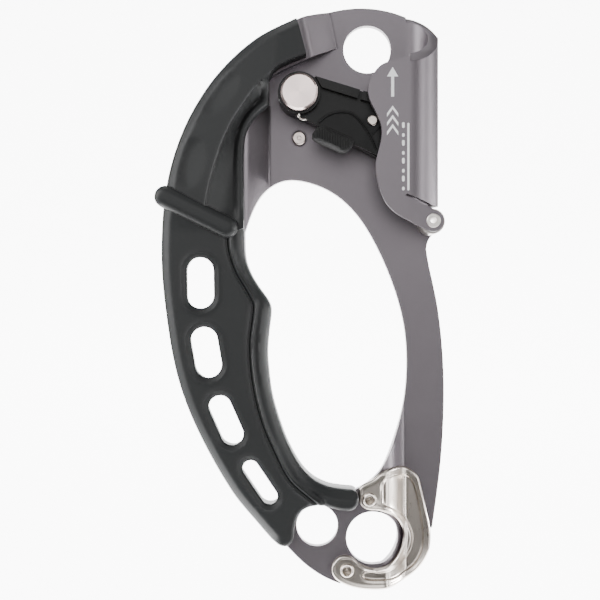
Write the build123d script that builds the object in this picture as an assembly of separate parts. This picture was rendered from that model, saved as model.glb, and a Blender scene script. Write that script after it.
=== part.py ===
"""Handled rope ascender: a bent aluminium frame with a rope channel, a toothed cam and a moulded grip.

Frame: +X towards the rope channel, +Z up along the rope, +Y towards the back. The origin is the
centre of the lower attachment hole, in the middle plane of the rope and of the handle.
All sizes are in millimetres.
"""

import os
from math import cos, radians, sin

from build123d import *

# ---------------------------------------------------------------- driving dimensions
SHEET = 3.5  # frame sheet thickness
CHANNEL_R = 7.0  # inner radius of the rope channel, for rope up to 13 mm
FOLD_X = 12.2  # axis of the channel's fold
REAR_Y = CHANNEL_R  # front face of the rear plate
REAR_BACK_Y = REAR_Y + SHEET
REAR_MID_Y = REAR_Y + SHEET / 2
SPINE_HALF = SHEET / 2  # the handle's spine lies about y = 0
LEFT_STEP_LOW = 96.0  # the left joggle runs between these heights
LEFT_STEP_TOP = 149.6
LOW_STEP_TOP = 60.0
BEND_MID_R = 3.6  # bend radius of the joggles, at mid sheet
WALL = 0.3  # working gap between moving faces
RUNNING_GAP = 0.05  # radial clearance of a shaft in its bush
FOLD_LOW_Z = 113.8  # lower end of the rope channel
FOLD_HIGH_Z = 180.6  # channel's top at the rear plate
FLAP_HIGH_Z = 164.0  # channel's top at the flap

LOWER_HOLE = (0.0, 0.0)
LOWER_HOLE_R = 9.0
JOGGLE_HOLE_R = 9.1  # the same hole, eased where the joggle crosses it
JOGGLE_HOLE_X = 2.4  # where the easing starts
EASED_SIDE = 30.0  # side of the block that bounds the easing, clear of everything else
SMALL_HOLE = (-19.0, 4.3)
SMALL_HOLE_R = 7.1
TOP_HOLE = (-1.4, 169.4)
TOP_HOLE_R = 8.3

PIVOT = (-25.2, 152.3)
PIVOT_HEAD_R = 6.3
PIVOT_SHAFT_R = 3.1
PIVOT_HEAD_FRONT_Y = -9.2
PIVOT_HEAD_BACK_Y = -6.3
CAM_BUSH_R = 4.1
CAM_BOSS_R = 7.2
CAM_BOSS_FRONT_Y = -6.0
CAM_BOSS_BACK_Y = 6.2
CAM_FRONT_Y = -3.0
CAM_BACK_Y = 4.0
TOE_CENTRE = (-12.0, 138.0)
TOE_R = 27.4
TOE_HALF_ANGLE = 21.0
SPRING_CAVITY_R = 5.9
SPRING_FLOOR_Y = -1.6  # floor of the pocket that holds the cam spring
SPRING_WIRE_R = 0.4
SPRING_MEAN_R = 5.0
SPRING_PITCH = 0.9
SPRING_TURNS = 3.5
SPRING_Y0 = -5.4  # first turn of the cam spring
ANCHOR_TURN = 0.0
LEG_TURN = 90.0
TOP_BAR_Y = -5.6
TOOTH_HEIGHT = 1.3
TOOTH_BASE_R = 0.85
TOOTH_ROWS = 9
TOOTH_COLUMNS = (-2.5, 0.0, 2.5)
TOOTH_COLUMNS_BETWEEN = (-1.25, 1.25)
TOOTH_RAKE = 25.0

STOP_PIN = (-25.2, 138.2)
STOP_PIN_R = 2.4
STOP_PIN_FRONT_Y = 4.9

ROLLER = (20.1, 108.5)
ROLLER_R = 4.3
ROLLER_HALF = 6.2
ROLLER_AXLE_R = 2.0
ROLLER_BUSH_R = 2.9
TONGUE_R = 3.6

TRIGGER_PIN = (-0.1, 142.9)
TRIGGER_PIN_R = 1.3
TRIGGER_PAD = (-13.8, 136.0)
TRIGGER_PAD_TURN = -26.0
PAD_LENGTH = 13.4
PAD_WIDTH = 5.2
PAD_FRONT_Y = -12.0
RIB_PITCH = 0.9
LEVER_BACK_Y = CAM_FRONT_Y - WALL
EAR_FRONT_Y = -4.8
LENS_FRONT_Y = -6.4

WEAR_SHEET = 1.1
WEAR_SHIFT = (-0.75, 0.95)  # the wrap's thickness across the frame's lower edge
WEAR_RIVET_UPPER = (-1.1, 13.3)
WEAR_RIVET_LOWER = (-8.8, -11.0)
WEAR_RIVET_R = 1.9

GRIP_HALF = 9.5
GRIP_OUTER_ROUND = 1.5
FINGER_ROUND = 2.5
FINGER_HALF = 8.4
COLLAR = (-59.6, 111.2)
COLLAR_LENGTH = 33.0
COLLAR_WIDTH = 7.8
COLLAR_HALF = 11.6
SCREW_HEAD_Y = 6.6
GRIP_SLOTS = (  # centre x, centre z, length, width, turn from vertical in degrees
    (-58.6, 87.5, 17.4, 9.2, 1.0),
    (-56.6, 64.0, 17.4, 9.2, 10.0),
    (-49.9, 41.0, 17.6, 8.2, 24.0),
    (-38.4, 20.0, 17.2, 6.0, 34.0),
)
SLOT_LINER = 1.3  # grip material that lines each slot of the frame
SCREW_PLACES = ((-57.6, 75.7), (-54.3, 52.2), (-45.2, 30.0))
SCREW_HEAD_R = 2.3
SCREW_R = 1.2

os.makedirs("parts", exist_ok=True)


# ---------------------------------------------------------------- helpers
def slab(face, front, back):
    """Fill front <= y <= back with a face drawn in x and z."""
    return extrude(Plane.XZ.offset(-back) * face, back - front)


def outline(*edges):
    """Make a face from edges that close on each other."""
    return make_face(Curve() + list(edges))


def disc(centre, radius):
    """A round face at a place in x and z."""
    return Pos(*centre) * Circle(radius)


def rod(centre, radius, front, back):
    """A round bar along y."""
    return slab(disc(centre, radius), front, back)


def band(front_x, rear_x, low_z, high_z, front=-SPINE_HALF, back=SPINE_HALF):
    """The joggle: a layer that steps from the spine's plane back to the rear plate's plane."""
    lead = 12.0
    middle = [
        (front_x - lead, 0.0),
        (front_x, 0.0),
        (rear_x, REAR_MID_Y),
        (rear_x + lead, REAR_MID_Y),
    ]
    front_side = mitred(middle, -front)
    back_side = mitred(middle, -back)
    face = outline(
        FilletPolyline(*front_side, radius=(BEND_MID_R - front, BEND_MID_R + front)),
        Line(front_side[-1], back_side[-1]),
        FilletPolyline(*back_side, radius=(BEND_MID_R - back, BEND_MID_R + back)),
        Line(back_side[0], front_side[0]),
    )
    keep = Pos((front_x + rear_x) / 2, REAR_MID_Y / 2) * Rectangle(rear_x - front_x + 8.0, 40.0)
    return Pos(0, 0, low_z) * extrude(face & keep, high_z - low_z)


def mitred(points, distance):
    """Shift a chain of points sideways, to its right, with mitred corners."""
    shifted = []
    for index, point in enumerate(points):
        before = points[max(index - 1, 0)]
        after = points[min(index + 1, len(points) - 1)]
        here = Vector(*point)
        into = (here - Vector(*before)).normalized() if index else (Vector(*after) - here).normalized()
        out = (Vector(*after) - here).normalized() if point != points[-1] else into
        normal = Vector(into.Y + out.Y, -into.X - out.X).normalized()
        reach = distance / normal.dot(Vector(into.Y, -into.X))
        shifted.append((point[0] + normal.X * reach, point[1] + normal.Y * reach))
    return shifted


def turned(shape, centre, angle):
    """Turn a shape about an axis along y; a positive angle is clockwise seen from the front."""
    return Pos(centre[0], 0, centre[1]) * Rot(0, angle, 0) * Pos(-centre[0], 0, -centre[1]) * shape


# ---------------------------------------------------------------- frame plate
def outer_face():
    """The whole sheet as seen from the front, without the folded flap."""
    return outline(
        Spline(
            (FOLD_X, 180.6),
            (3.0, 183.3),
            (-6.9, 183.7),
            (-25.0, 178.6),
            (-40.0, 169.6),
            (-52.0, 158.0),
            (-60.0, 146.0),
            (-65.6, 132.0),
            (-69.4, 114.0),
            (-70.2, 98.0),
            (-68.6, 78.0),
            (-64.4, 57.0),
            (-58.0, 39.0),
            (-48.5, 20.5),
            (-38.5, 6.5),
            (-30.4, -1.8),
            (-23.8, -8.4),
            (-14.0, -14.6),
            (-7.2, -16.7),
            (0.0, -17.6),
            (7.0, -17.0),
            (13.2, -14.6),
            (18.0, -9.6),
            (20.5, -2.4),
            (22.2, 8.0),
            (24.2, 23.6),
            (25.3, 40.0),
            (25.4, 56.0),
            (24.4, 70.5),
            (22.6, 83.0),
            (20.2, 94.0),
            (19.3, 99.6),
        ),
        Spline((19.3, 99.6), (20.5, 103.4), (23.8, 106.4), tangents=((0.1, 1), (0.8, 0.6))),
        ThreePointArc((23.8, 106.4), (24.0, 110.3), (21.0, FOLD_LOW_Z - 0.6)),
        Line((21.0, FOLD_LOW_Z - 0.6), (FOLD_X, FOLD_LOW_Z - 0.6)),
        Line((FOLD_X, FOLD_LOW_Z - 0.6), (FOLD_X, 180.6)),
    )


def hand_face():
    """The hand opening in the sheet; the grip covers its edge on the spine's side."""
    return outline(
        Spline(
            (-44.1, 104.0),
            (-41.0, 113.1),
            (-36.2, 120.4),
            (-30.4, 123.4),
            (-22.6, 123.0),
            (-14.4, 119.8),
            (-6.9, 113.8),
            (2.2, 100.0),
            (8.6, 84.5),
            (11.8, 71.2),
            (12.5, 58.5),
            (11.2, 45.0),
            (7.0, 31.5),
            (1.2, 21.4),
            (-6.0, 16.6),
            (-14.6, 15.6),
            (-23.6, 19.6),
            (-31.0, 29.6),
            (-36.8, 44.0),
            (-40.4, 58.0),
            (-42.0, 72.0),
            (-43.6, 86.0),
            (-44.8, 95.0),
            periodic=True,
        )
    )


def rear_face():
    """The flat part of the sheet in the rear plane, up to where the joggles' bends start."""
    return outline(
        Line((-14.2, 190.0), (-9.9, 170.4)),
        Spline((-9.9, 170.4), (-20.0, 167.0), (-28.6, 163.7), (-36.4, 158.8)),
        Line((-36.4, 158.8), (-36.4, LEFT_STEP_TOP)),
        Line((-36.4, LEFT_STEP_TOP), (-33.4, LEFT_STEP_TOP)),
        Line((-33.4, LEFT_STEP_TOP), (-33.4, LEFT_STEP_LOW)),
        Line((-33.4, LEFT_STEP_LOW), (10.2, 66.0)),
        Line((10.2, 66.0), (10.2, LOW_STEP_TOP)),
        Line((10.2, LOW_STEP_TOP), (13.2, LOW_STEP_TOP)),
        Line((13.2, LOW_STEP_TOP), (13.2, -30.0)),
        Line((13.2, -30.0), (40.0, -30.0)),
        Line((40.0, -30.0), (40.0, 190.0)),
        Line((40.0, 190.0), (-14.2, 190.0)),
    )


def spine_face():
    """The flat part of the sheet in the middle plane, under the grip and round the lower holes."""
    return outline(
        Line((-29.9, 190.0), (-24.0, 163.8)),
        Spline((-24.0, 163.8), (-31.0, 160.6), (-40.0, 154.6), (-44.6, LEFT_STEP_TOP)),
        Line((-44.6, LEFT_STEP_TOP), (-47.6, LEFT_STEP_TOP)),
        Line((-47.6, LEFT_STEP_TOP), (-47.6, LEFT_STEP_LOW)),
        Line((-47.6, LEFT_STEP_LOW), (-30.0, LEFT_STEP_LOW)),
        Line((-30.0, LEFT_STEP_LOW), (1.2, 60.0)),
        Line((1.2, 60.0), (1.2, -30.0)),
        Line((1.2, -30.0), (-90.0, -30.0)),
        Line((-90.0, -30.0), (-90.0, 190.0)),
        Line((-90.0, 190.0), (-29.9, 190.0)),
    )


def top_step():
    """The tilted joggle at the top, which ends below at the blind end of the slit."""
    above_slit = outline(
        Line((-36.0, 200.0), (-31.0, 160.6)),
        Line((-31.0, 160.6), (-24.0, 163.8)),
        Line((-24.0, 163.8), (-12.4, 169.6)),
        Line((-12.4, 169.6), (-4.0, 171.0)),
        Line((-4.0, 171.0), (-4.0, 200.0)),
        Line((-4.0, 200.0), (-36.0, 200.0)),
    )
    return turned(band(-23.7, -14.0, 150.0, 205.0), (-14.0, 175.5), -12.3) & slab(above_slit, -30, 30)


def fold():
    """The rope channel's half-round wall; its top edge slants down from the plate to the flap."""
    ring = Circle(CHANNEL_R + SHEET) - Circle(CHANNEL_R)
    half = ring & Pos(20, 0) * Rectangle(40, 40)
    wall = Pos(FOLD_X, 0, FOLD_LOW_Z) * extrude(half, 75)
    rise = (FOLD_HIGH_Z - FLAP_HIGH_Z) / (2 * REAR_MID_Y)
    middle = (FOLD_HIGH_Z + FLAP_HIGH_Z) / 2
    above = Plane(origin=(FOLD_X, 0, middle), x_dir=(1, 0, 0), z_dir=(0, -rise, 1))
    return wall - extrude(above * Rectangle(60, 60), 60)


def flap_face():
    """The front flap beside the rope, with the tongue that carries the roller's axle."""
    foot = (18.4, ROLLER[1] - TONGUE_R + 0.4)
    shoulder = (ROLLER[0] + 1.3, ROLLER[1] + TONGUE_R - 0.3)
    return outline(
        Spline(
            (FOLD_X, FLAP_HIGH_Z),
            (7.4, 162.8),
            (2.4, 160.9),
            (-0.6, 157.2),
            (-1.9, 151.6),
            (-0.4, 147.2),
            (1.8, 143.0),
            (2.7, 138.2),
            (1.9, 133.2),
            (0.7, 127.8),
            (1.2, 122.4),
            (3.2, 116.2),
            (7.1, 111.4),
            (12.4, 108.3),
            foot,
            tangents=((-1, -0.2), (1, -0.42)),
        ),
        ThreePointArc(foot, (ROLLER[0] + TONGUE_R, ROLLER[1]), shoulder),
        Line(shoulder, (FOLD_X, 116.1)),
        Line((FOLD_X, 116.1), (FOLD_X, FLAP_HIGH_Z)),
    )


def crown_face():
    """What is cut away above the channel's rounded upper corner, behind its fold line."""
    return outline(
        Line((FOLD_X, 190.0), (FOLD_X, FOLD_HIGH_Z)),
        Spline((FOLD_X, FOLD_HIGH_Z), (16.4, 179.1), (19.6, 176.6), (21.7, 173.8), (22.9, 171.0)),
        Line((22.9, 171.0), (30.0, 171.0)),
        Line((30.0, 171.0), (30.0, 190.0)),
        Line((30.0, 190.0), (FOLD_X, 190.0)),
    )


def flap_slit():
    """The narrow slit that parts the tongue from the channel's wall."""
    return outline(
        Line((10.6, 116.9), (24.8, 111.4)),
        Line((24.8, 111.4), (24.8, 113.8)),
        Line((24.8, 113.8), (20.4, 113.8)),
        Line((20.4, 113.8), (11.2, 117.6)),
        Line((11.2, 117.6), (10.6, 116.9)),
    )


def slots(grow=0.0):
    """The through slots of the handle, each as (x, z, length, width, turn)."""
    faces = [
        Pos(x, z) * Rot(0, 0, turn + 90) * SlotOverall(length + 2 * grow, width + 2 * grow)
        for x, z, length, width, turn in GRIP_SLOTS
    ]
    return Sketch() + faces


def pierced_sheet():
    """The whole sheet as seen from the front, with the handle's slots and the two lower holes."""
    face = outer_face() - hand_face() - slots(SLOT_LINER)
    return face - disc(LOWER_HOLE, LOWER_HOLE_R) - disc(SMALL_HOLE, SMALL_HOLE_R)


def wear_flange(front, back):
    """A band along the frame's lower outer edge, where the wear plate wraps round it."""
    lower = Pos(7.0, -20.0) * Rectangle(36.0, 44.0)
    edge = outer_face() - Pos(*WEAR_SHIFT) * outer_face()
    return slab(edge & lower, front, back)


def low_sheet(front, back):
    """The spine, the lower joggle and the right limb as one bent layer between two depths of the sheet."""
    spine = slab(Pos(-41.4, 0) * Rectangle(85.2, 120), front, back)
    limb = slab(Pos(33.2, 0) * Rectangle(40.0, 120), REAR_MID_Y + front, REAR_MID_Y + back)
    return spine + band(4.2, 10.2, -60.0, 60.0, front, back) + limb


def make_frame():
    """The one-piece frame: rear plate, folded channel, spine and the three joggles between the planes."""
    whole = outer_face() - hand_face()
    whole_bar = slab(whole, -30, 30)
    frame = slab(whole & rear_face(), REAR_Y, REAR_BACK_Y)
    frame += slab(pierced_sheet() & spine_face(), -SPINE_HALF, SPINE_HALF)
    eased = Pos(JOGGLE_HOLE_X + EASED_SIDE / 2, 0, 0) * Box(EASED_SIDE, EASED_SIDE, EASED_SIDE)
    holes = rod(LOWER_HOLE, LOWER_HOLE_R, -20, 20) + (rod(LOWER_HOLE, JOGGLE_HOLE_R, -20, 20) & eased)
    frame += band(-44.6, -36.4, LEFT_STEP_LOW, LEFT_STEP_TOP) & whole_bar
    frame += band(4.2, 10.2, -30.0, LOW_STEP_TOP) & whole_bar
    frame += top_step() & whole_bar
    frame -= holes
    frame += fold()
    frame += slab(flap_face(), -REAR_BACK_Y, -REAR_Y)
    frame -= slab(flap_slit(), -20.0, -3.0)
    frame -= slab(crown_face(), 0.0, 20.0)
    frame -= wear_flange(-20, 20)
    frame -= rod(TOP_HOLE, TOP_HOLE_R, 0, 20)
    frame -= rod(PIVOT, PIVOT_SHAFT_R, 0, 20)
    frame -= rod(STOP_PIN, STOP_PIN_R, 0, 20)
    frame -= rod(STOP_PIN, STOP_PIN_R + 0.55, 0, REAR_Y + 0.8)
    frame -= rod(ROLLER, ROLLER_AXLE_R, -20, 20)
    for place in (WEAR_RIVET_UPPER, WEAR_RIVET_LOWER):
        frame -= rod(place, WEAR_RIVET_R, -5, 5)
    for place in SCREW_PLACES:
        frame -= rod(place, SCREW_R + 0.3, -5, 5)
    return frame


# ---------------------------------------------------------------- wear plate
def wear_face():
    """The hardened plate round the open side of the lower attachment hole."""
    return outline(
        Spline(
            (-4.5, 14.4),
            (-3.6, 17.2),
            (-0.6, 19.6),
            (3.6, 22.6),
            (8.6, 23.9),
            (13.0, 23.0),
            (16.2, 20.6),
            (17.8, 16.4),
            (19.4, 8.6),
            (20.4, 2.0),
            (20.6, -2.4),
            (20.4, -6.0),
        ),
        Line((20.4, -6.0), (24.0, -20.0)),
        Line((24.0, -20.0), (-11.5, -20.0)),
        Line((-11.5, -20.0), (-13.4, -13.8)),
        ThreePointArc((-13.4, -13.8), (-13.9, -9.0), (-10.6, -6.0)),
        Spline((-10.6, -6.0), (-7.6, -6.3), (-5.0, -8.9), (0.0, -10.5), tangents=((1, 0.35), (1, 0))),
        ThreePointArc((0.0, -10.5), (10.5, 0.0), (0.0, 10.5)),
        Line((0.0, 10.5), (-2.4, 10.3)),
        ThreePointArc((-2.4, 10.3), (-4.6, 11.6), (-4.5, 14.4)),
    )


def make_wear_plate():
    """A bent stainless plate that lies on the front of the sheet, steps back with it and wraps its edge."""
    outside = outer_face() & wear_face()
    front = -SPINE_HALF - WEAR_SHEET
    plate = slab(outside, -30, 30) & low_sheet(front, -SPINE_HALF)
    wrap = wear_flange(-30, 30) & slab(wear_face(), -30, 30) & low_sheet(front, SPINE_HALF)
    plate += wrap
    for place in (WEAR_RIVET_UPPER, WEAR_RIVET_LOWER):
        plate -= rod(place, WEAR_RIVET_R, -9, 9)
    return plate


def make_wear_rivets():
    """Two domed rivets that clamp the wear plate to the sheet."""
    rivets = []
    for place in (WEAR_RIVET_UPPER, WEAR_RIVET_LOWER):
        front = -SPINE_HALF - WEAR_SHEET
        rivet = rod(place, WEAR_RIVET_R, front, SPINE_HALF)
        head = rod(place, 2.6, front - 0.9, front)
        head = chamfer(head.faces().sort_by(Axis.Y)[0].edges(), 0.45)
        tail = rod(place, 2.7, SPINE_HALF, SPINE_HALF + 0.8)
        tail = chamfer(tail.faces().sort_by(Axis.Y)[-1].edges(), 0.35)
        rivets.append(rivet + head + tail - rod(place, 0.9, front - 2.0, front - 0.4))
    return Compound(rivets)


# ---------------------------------------------------------------- grip
def grip_face():
    """The grip as seen from the front."""
    return outline(
        Spline(
            (-26.4, 179.9),
            (-40.7, 171.6),
            (-53.3, 159.8),
            (-62.3, 146.5),
            (-67.9, 132.8),
            (-71.4, 117.6),
            (-72.6, 99.1),
            (-71.5, 81.7),
            (-67.4, 57.1),
            (-60.9, 38.8),
            (-48.5, 16.6),
            (-38.5, 4.2),
            tangents=((-1, -0.5), (0.62, -0.78)),
        ),
        Spline(
            (-38.5, 4.2),
            (-33.6, -1.2),
            (-30.6, -2.4),
            (-28.0, -0.6),
            tangents=((0.62, -0.78), (0.7, 0.7)),
        ),
        Spline((-28.0, -0.6), (-27.0, 3.4), (-26.6, 7.2), (-22.6, 11.4), (-17.0, 12.3), (-7.1, 10.1)),
        Line((-7.1, 10.1), (-5.4, 11.6)),
        Line((-5.4, 11.6), (-5.4, 15.7)),
        Line((-5.4, 15.7), (-7.1, 17.3)),
        Spline(
            (-7.1, 17.3),
            (-14.6, 18.2),
            (-20.4, 20.9),
            (-24.6, 24.9),
            (-29.0, 33.1),
            (-32.3, 41.3),
            (-34.6, 49.5),
            (-35.6, 57.7),
            (-36.0, 63.9),
            (-35.7, 70.1),
            (-34.9, 77.6),
            (-36.2, 82.4),
            (-39.3, 86.6),
            (-41.6, 90.8),
            (-43.5, 96.0),
            (-44.0, 104.0),
        ),
        Line((-44.0, 104.0), (-44.3, 130.5)),
        Spline((-44.3, 130.5), (-43.6, 139.2), (-41.0, 144.6), (-36.1, 148.4)),
        Line((-36.1, 148.4), (-36.3, 155.9)),
        Spline((-36.3, 155.9), (-34.5, 159.9), (-28.8, 162.9), (-22.6, 164.9)),
        Line((-22.6, 164.9), (-26.4, 179.9)),
    )


def grip_rear_face():
    """The grip as seen from behind: it keeps clear of the joggles and of the rear plate."""
    keep = outline(
        Line((-29.0, 190.0), (-27.4, 176.0)),
        Line((-27.4, 176.0), (-33.0, 163.5)),
        Line((-33.0, 163.5), (-48.2, 152.0)),
        Line((-48.2, 152.0), (-48.2, 98.0)),
        Line((-48.2, 98.0), (-20.0, 94.0)),
        Line((-20.0, 94.0), (10.0, 40.0)),
        Line((10.0, 40.0), (10.0, -20.0)),
        Line((10.0, -20.0), (-90.0, -20.0)),
        Line((-90.0, -20.0), (-90.0, 190.0)),
        Line((-90.0, 190.0), (-29.0, 190.0)),
    )
    return grip_face() & keep


def finger_face():
    """The soft strip along the fingers' side of the grip, below the collar."""
    return outline(
        Line((-52.0, 101.6), (-50.9, 98.0)),
        Spline(
            (-50.9, 98.0),
            (-48.3, 90.6),
            (-44.2, 84.9),
            (-41.6, 79.6),
            (-42.6, 68.0),
            (-41.7, 54.2),
            (-38.5, 41.0),
            (-34.1, 30.2),
            (-29.1, 20.6),
            (-22.8, 15.4),
        ),
        Line((-22.8, 15.4), (-19.0, 16.0)),
        Line((-19.0, 16.0), (-4.0, 30.0)),
        Line((-4.0, 30.0), (-20.0, 101.6)),
        Line((-20.0, 101.6), (-52.0, 101.6)),
    )


def rounded(shell, side, radius):
    """Round the longest edge of a shell's front (0) or back (-1) face."""
    edges = shell.faces().sort_by(Axis.Y)[side].outer_wire().edges().sort_by(lambda edge: -edge.length)
    return fillet(edges[0], radius)


def rim_face(face):
    """The part of a grip shell that reaches the middle plane: outside the spine and inside its slots."""
    web = outline(
        Line((-45.0, 190.0), (-45.0, 100.0)),
        Line((-45.0, 100.0), (-30.0, 100.0)),
        Line((-30.0, 100.0), (-15.0, 190.0)),
        Line((-15.0, 190.0), (-45.0, 190.0)),
    )
    return face - pierced_sheet() - web


def make_grip_front():
    """The front shell of the grip, moulded round the slots of the spine."""
    face = grip_face() - slots()
    shell = rounded(slab(face, -GRIP_HALF, -SPINE_HALF), 0, GRIP_OUTER_ROUND)
    shell += slab(rim_face(face), -SPINE_HALF, 0)
    for place in SCREW_PLACES:
        shell -= rod(place, SCREW_R, -5.5, 0)
    return shell - finger_bar()


def make_grip_rear():
    """The rear shell of the grip, with the screws' counterbores."""
    face = grip_rear_face() - slots()
    shell = rounded(slab(face, SPINE_HALF, GRIP_HALF), -1, GRIP_OUTER_ROUND)
    shell += slab(rim_face(face), 0, SPINE_HALF)
    for place in SCREW_PLACES:
        shell -= rod(place, SCREW_R + 0.3, 0, 12)
        shell -= rod(place, SCREW_HEAD_R + 0.15, SCREW_HEAD_Y, 12)
    return shell - finger_bar()


def finger_bar():
    """The space of the finger strip, through the grip's whole thickness."""
    return slab(finger_face(), -FINGER_HALF - 3, FINGER_HALF + 3)


def make_finger_strip():
    """The soft strip that the fingers close on."""
    strip = slab(grip_face() & finger_face(), -FINGER_HALF, FINGER_HALF)
    strip = rounded(rounded(strip, 0, FINGER_ROUND), -1, FINGER_ROUND)
    strip -= slab(pierced_sheet(), -SPINE_HALF, SPINE_HALF)
    return strip


def make_collar():
    """The raised rib round the grip, above the fingers."""
    turn = -26.5
    across = Pos(*COLLAR) * Rot(0, 0, turn) * RectangleRounded(COLLAR_LENGTH, COLLAR_WIDTH, 3.4)
    ring = slab(across, -COLLAR_HALF, COLLAR_HALF)
    ring = chamfer(ring.faces().sort_by(Axis.Y)[0].edges(), 1.3)
    rear_room = Pos(-30.0, 110.0) * Rectangle(36.4, 60.0)
    ring -= slab(rear_room, -SPINE_HALF, 40)
    ring -= slab(grip_face(), -GRIP_HALF, GRIP_HALF)
    return ring


def make_grip_screws():
    """Three screws that draw the two shells together through the spine."""
    screws = []
    for place in SCREW_PLACES:
        screw = rod(place, SCREW_R, -5.0, SCREW_HEAD_Y)
        head = rod(place, SCREW_HEAD_R, SCREW_HEAD_Y, SCREW_HEAD_Y + 1.8)
        across = Pos(*place) * RegularPolygon(1.1, 6)
        screws.append(screw + head - slab(across, SCREW_HEAD_Y + 0.6, SCREW_HEAD_Y + 3))
    return Compound(screws)


# ---------------------------------------------------------------- fixed pins
def make_pivot_pin():
    """The cam's pivot: a broad turned head in front and a tail riveted behind the rear plate."""
    head = rod(PIVOT, PIVOT_HEAD_R, PIVOT_HEAD_FRONT_Y, PIVOT_HEAD_BACK_Y)
    head = chamfer(head.faces().sort_by(Axis.Y)[0].edges(), 0.7)
    shaft = rod(PIVOT, PIVOT_SHAFT_R, PIVOT_HEAD_BACK_Y, REAR_BACK_Y + 0.8)
    tail = rod(PIVOT, 4.4, REAR_BACK_Y + 0.8, REAR_BACK_Y + 2.0)
    tail = chamfer(tail.faces().sort_by(Axis.Y)[-1].edges(), 0.5)
    anchor = Pos(PIVOT[0], SPRING_Y0, PIVOT[1]) * Rot(0, ANCHOR_TURN, 0) * spring_hole()
    return head + shaft + tail - anchor


def spring_hole():
    """A radial hole for the inner leg of the cam spring, drawn on the pin's own axis."""
    return Pos(2.6, 0, 0) * Rot(0, 90, 0) * Cylinder(SPRING_WIRE_R + 0.05, 2.4)


def make_pivot_washers():
    """A wear washer between the cam and the plate, and the washer under the riveted tail."""
    near = rod(PIVOT, 6.4, CAM_BOSS_BACK_Y + 0.3, REAR_Y) - rod(PIVOT, PIVOT_SHAFT_R, 0, 20)
    far = rod(PIVOT, 5.6, REAR_BACK_Y, REAR_BACK_Y + 0.8) - rod(PIVOT, PIVOT_SHAFT_R, 0, 20)
    return Compound([near, far])


def make_stop_pin():
    """The pin riveted in the plate; the trigger's catch can rest on it to hold the cam open."""
    pin = rod(STOP_PIN, STOP_PIN_R, STOP_PIN_FRONT_Y, REAR_BACK_Y)
    pin = chamfer(pin.faces().sort_by(Axis.Y)[0].edges(), 0.35)
    tail = rod(STOP_PIN, 3.2, REAR_BACK_Y, REAR_BACK_Y + 0.9)
    tail = chamfer(tail.faces().sort_by(Axis.Y)[-1].edges(), 0.4)
    return pin + tail - rod(STOP_PIN, 0.7, 0, STOP_PIN_FRONT_Y + 0.25)


# ---------------------------------------------------------------- roller
def make_roller_axle():
    """A hollow rivet from the flap's tongue to the rear plate."""
    axle = rod(ROLLER, ROLLER_AXLE_R, -REAR_BACK_Y, REAR_BACK_Y)
    for side in (-1, 1):
        near, far = sorted((side * REAR_BACK_Y, side * (REAR_BACK_Y + 0.5)))
        head = rod(ROLLER, 2.4, near, far)
        face = head.faces().sort_by(Axis.Y)[0 if side < 0 else -1]
        axle += chamfer(face.edges(), 0.25)
    return axle - rod(ROLLER, 1.05, -20, 20)


def make_roller_washers():
    """Two thin washers that keep the roller off the tongue and the plate."""
    washers = []
    for side in (-1, 1):
        near, far = sorted((side * (ROLLER_HALF + 0.3), side * REAR_Y))
        washers.append(rod(ROLLER, 3.3, near, far) - rod(ROLLER, ROLLER_AXLE_R, -20, 20))
    return Compound(washers)


def make_roller():
    """A waisted steel roller that guides the rope below the channel."""
    half = ROLLER_HALF
    profile = outline(
        Line((ROLLER_BUSH_R, -half), (ROLLER_R, -half)),
        Line((ROLLER_R, -half), (ROLLER_R, -half + 1.2)),
        ThreePointArc((ROLLER_R, -half + 1.2), (ROLLER_R - 0.8, 0), (ROLLER_R, half - 1.2)),
        Line((ROLLER_R, half - 1.2), (ROLLER_R, half)),
        Line((ROLLER_R, half), (ROLLER_BUSH_R, half)),
        Line((ROLLER_BUSH_R, half), (ROLLER_BUSH_R, -half)),
    )
    return Pos(ROLLER[0], 0, ROLLER[1]) * revolve(profile, Axis.Y, 360)


def make_roller_bush():
    """The bronze bush pressed into the roller."""
    sleeve = rod(ROLLER, ROLLER_BUSH_R, -ROLLER_HALF, ROLLER_HALF)
    return sleeve - rod(ROLLER, ROLLER_AXLE_R + RUNNING_GAP, -20, 20)


# ---------------------------------------------------------------- cam
def cam_face():
    """The cam's arm and toe as seen from the front."""
    start, stop = TOE_HALF_ANGLE, -TOE_HALF_ANGLE
    upper = toe_point(start)
    lower = toe_point(stop)
    arm = outline(
        Line((-26.0, 159.4), (-19.6, 158.0)),
        Line((-19.6, 158.0), (2.0, 151.4)),
        Line((2.0, 151.4), upper),
        ThreePointArc(upper, toe_point(0), lower),
        Line(lower, (10.0, 126.6)),
        Line((10.0, 126.6), (2.0, 130.4)),
        Line((2.0, 130.4), (-19.2, 141.6)),
        Line((-19.2, 141.6), (-29.0, 146.2)),
        Line((-29.0, 146.2), (-26.0, 159.4)),
    )
    return arm + disc(PIVOT, CAM_BOSS_R)


def toe_point(angle):
    """A point on the toe's gripping arc."""
    return (TOE_CENTRE[0] + TOE_R * cos(radians(angle)), TOE_CENTRE[1] + TOE_R * sin(radians(angle)))


def top_bar_face():
    """The raised rail along the arm's upper edge, with its notch."""
    rail = outline(
        Line((-19.6, 158.0), (2.0, 151.4)),
        Line((2.0, 151.4), (2.0, 148.2)),
        Line((2.0, 148.2), (-17.4, 154.2)),
        Line((-17.4, 154.2), (-19.6, 158.0)),
    )
    notch = Pos(-4.4, 151.4) * Rot(0, 0, -17) * Rectangle(1.2, 6.0)
    return rail - notch


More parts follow.
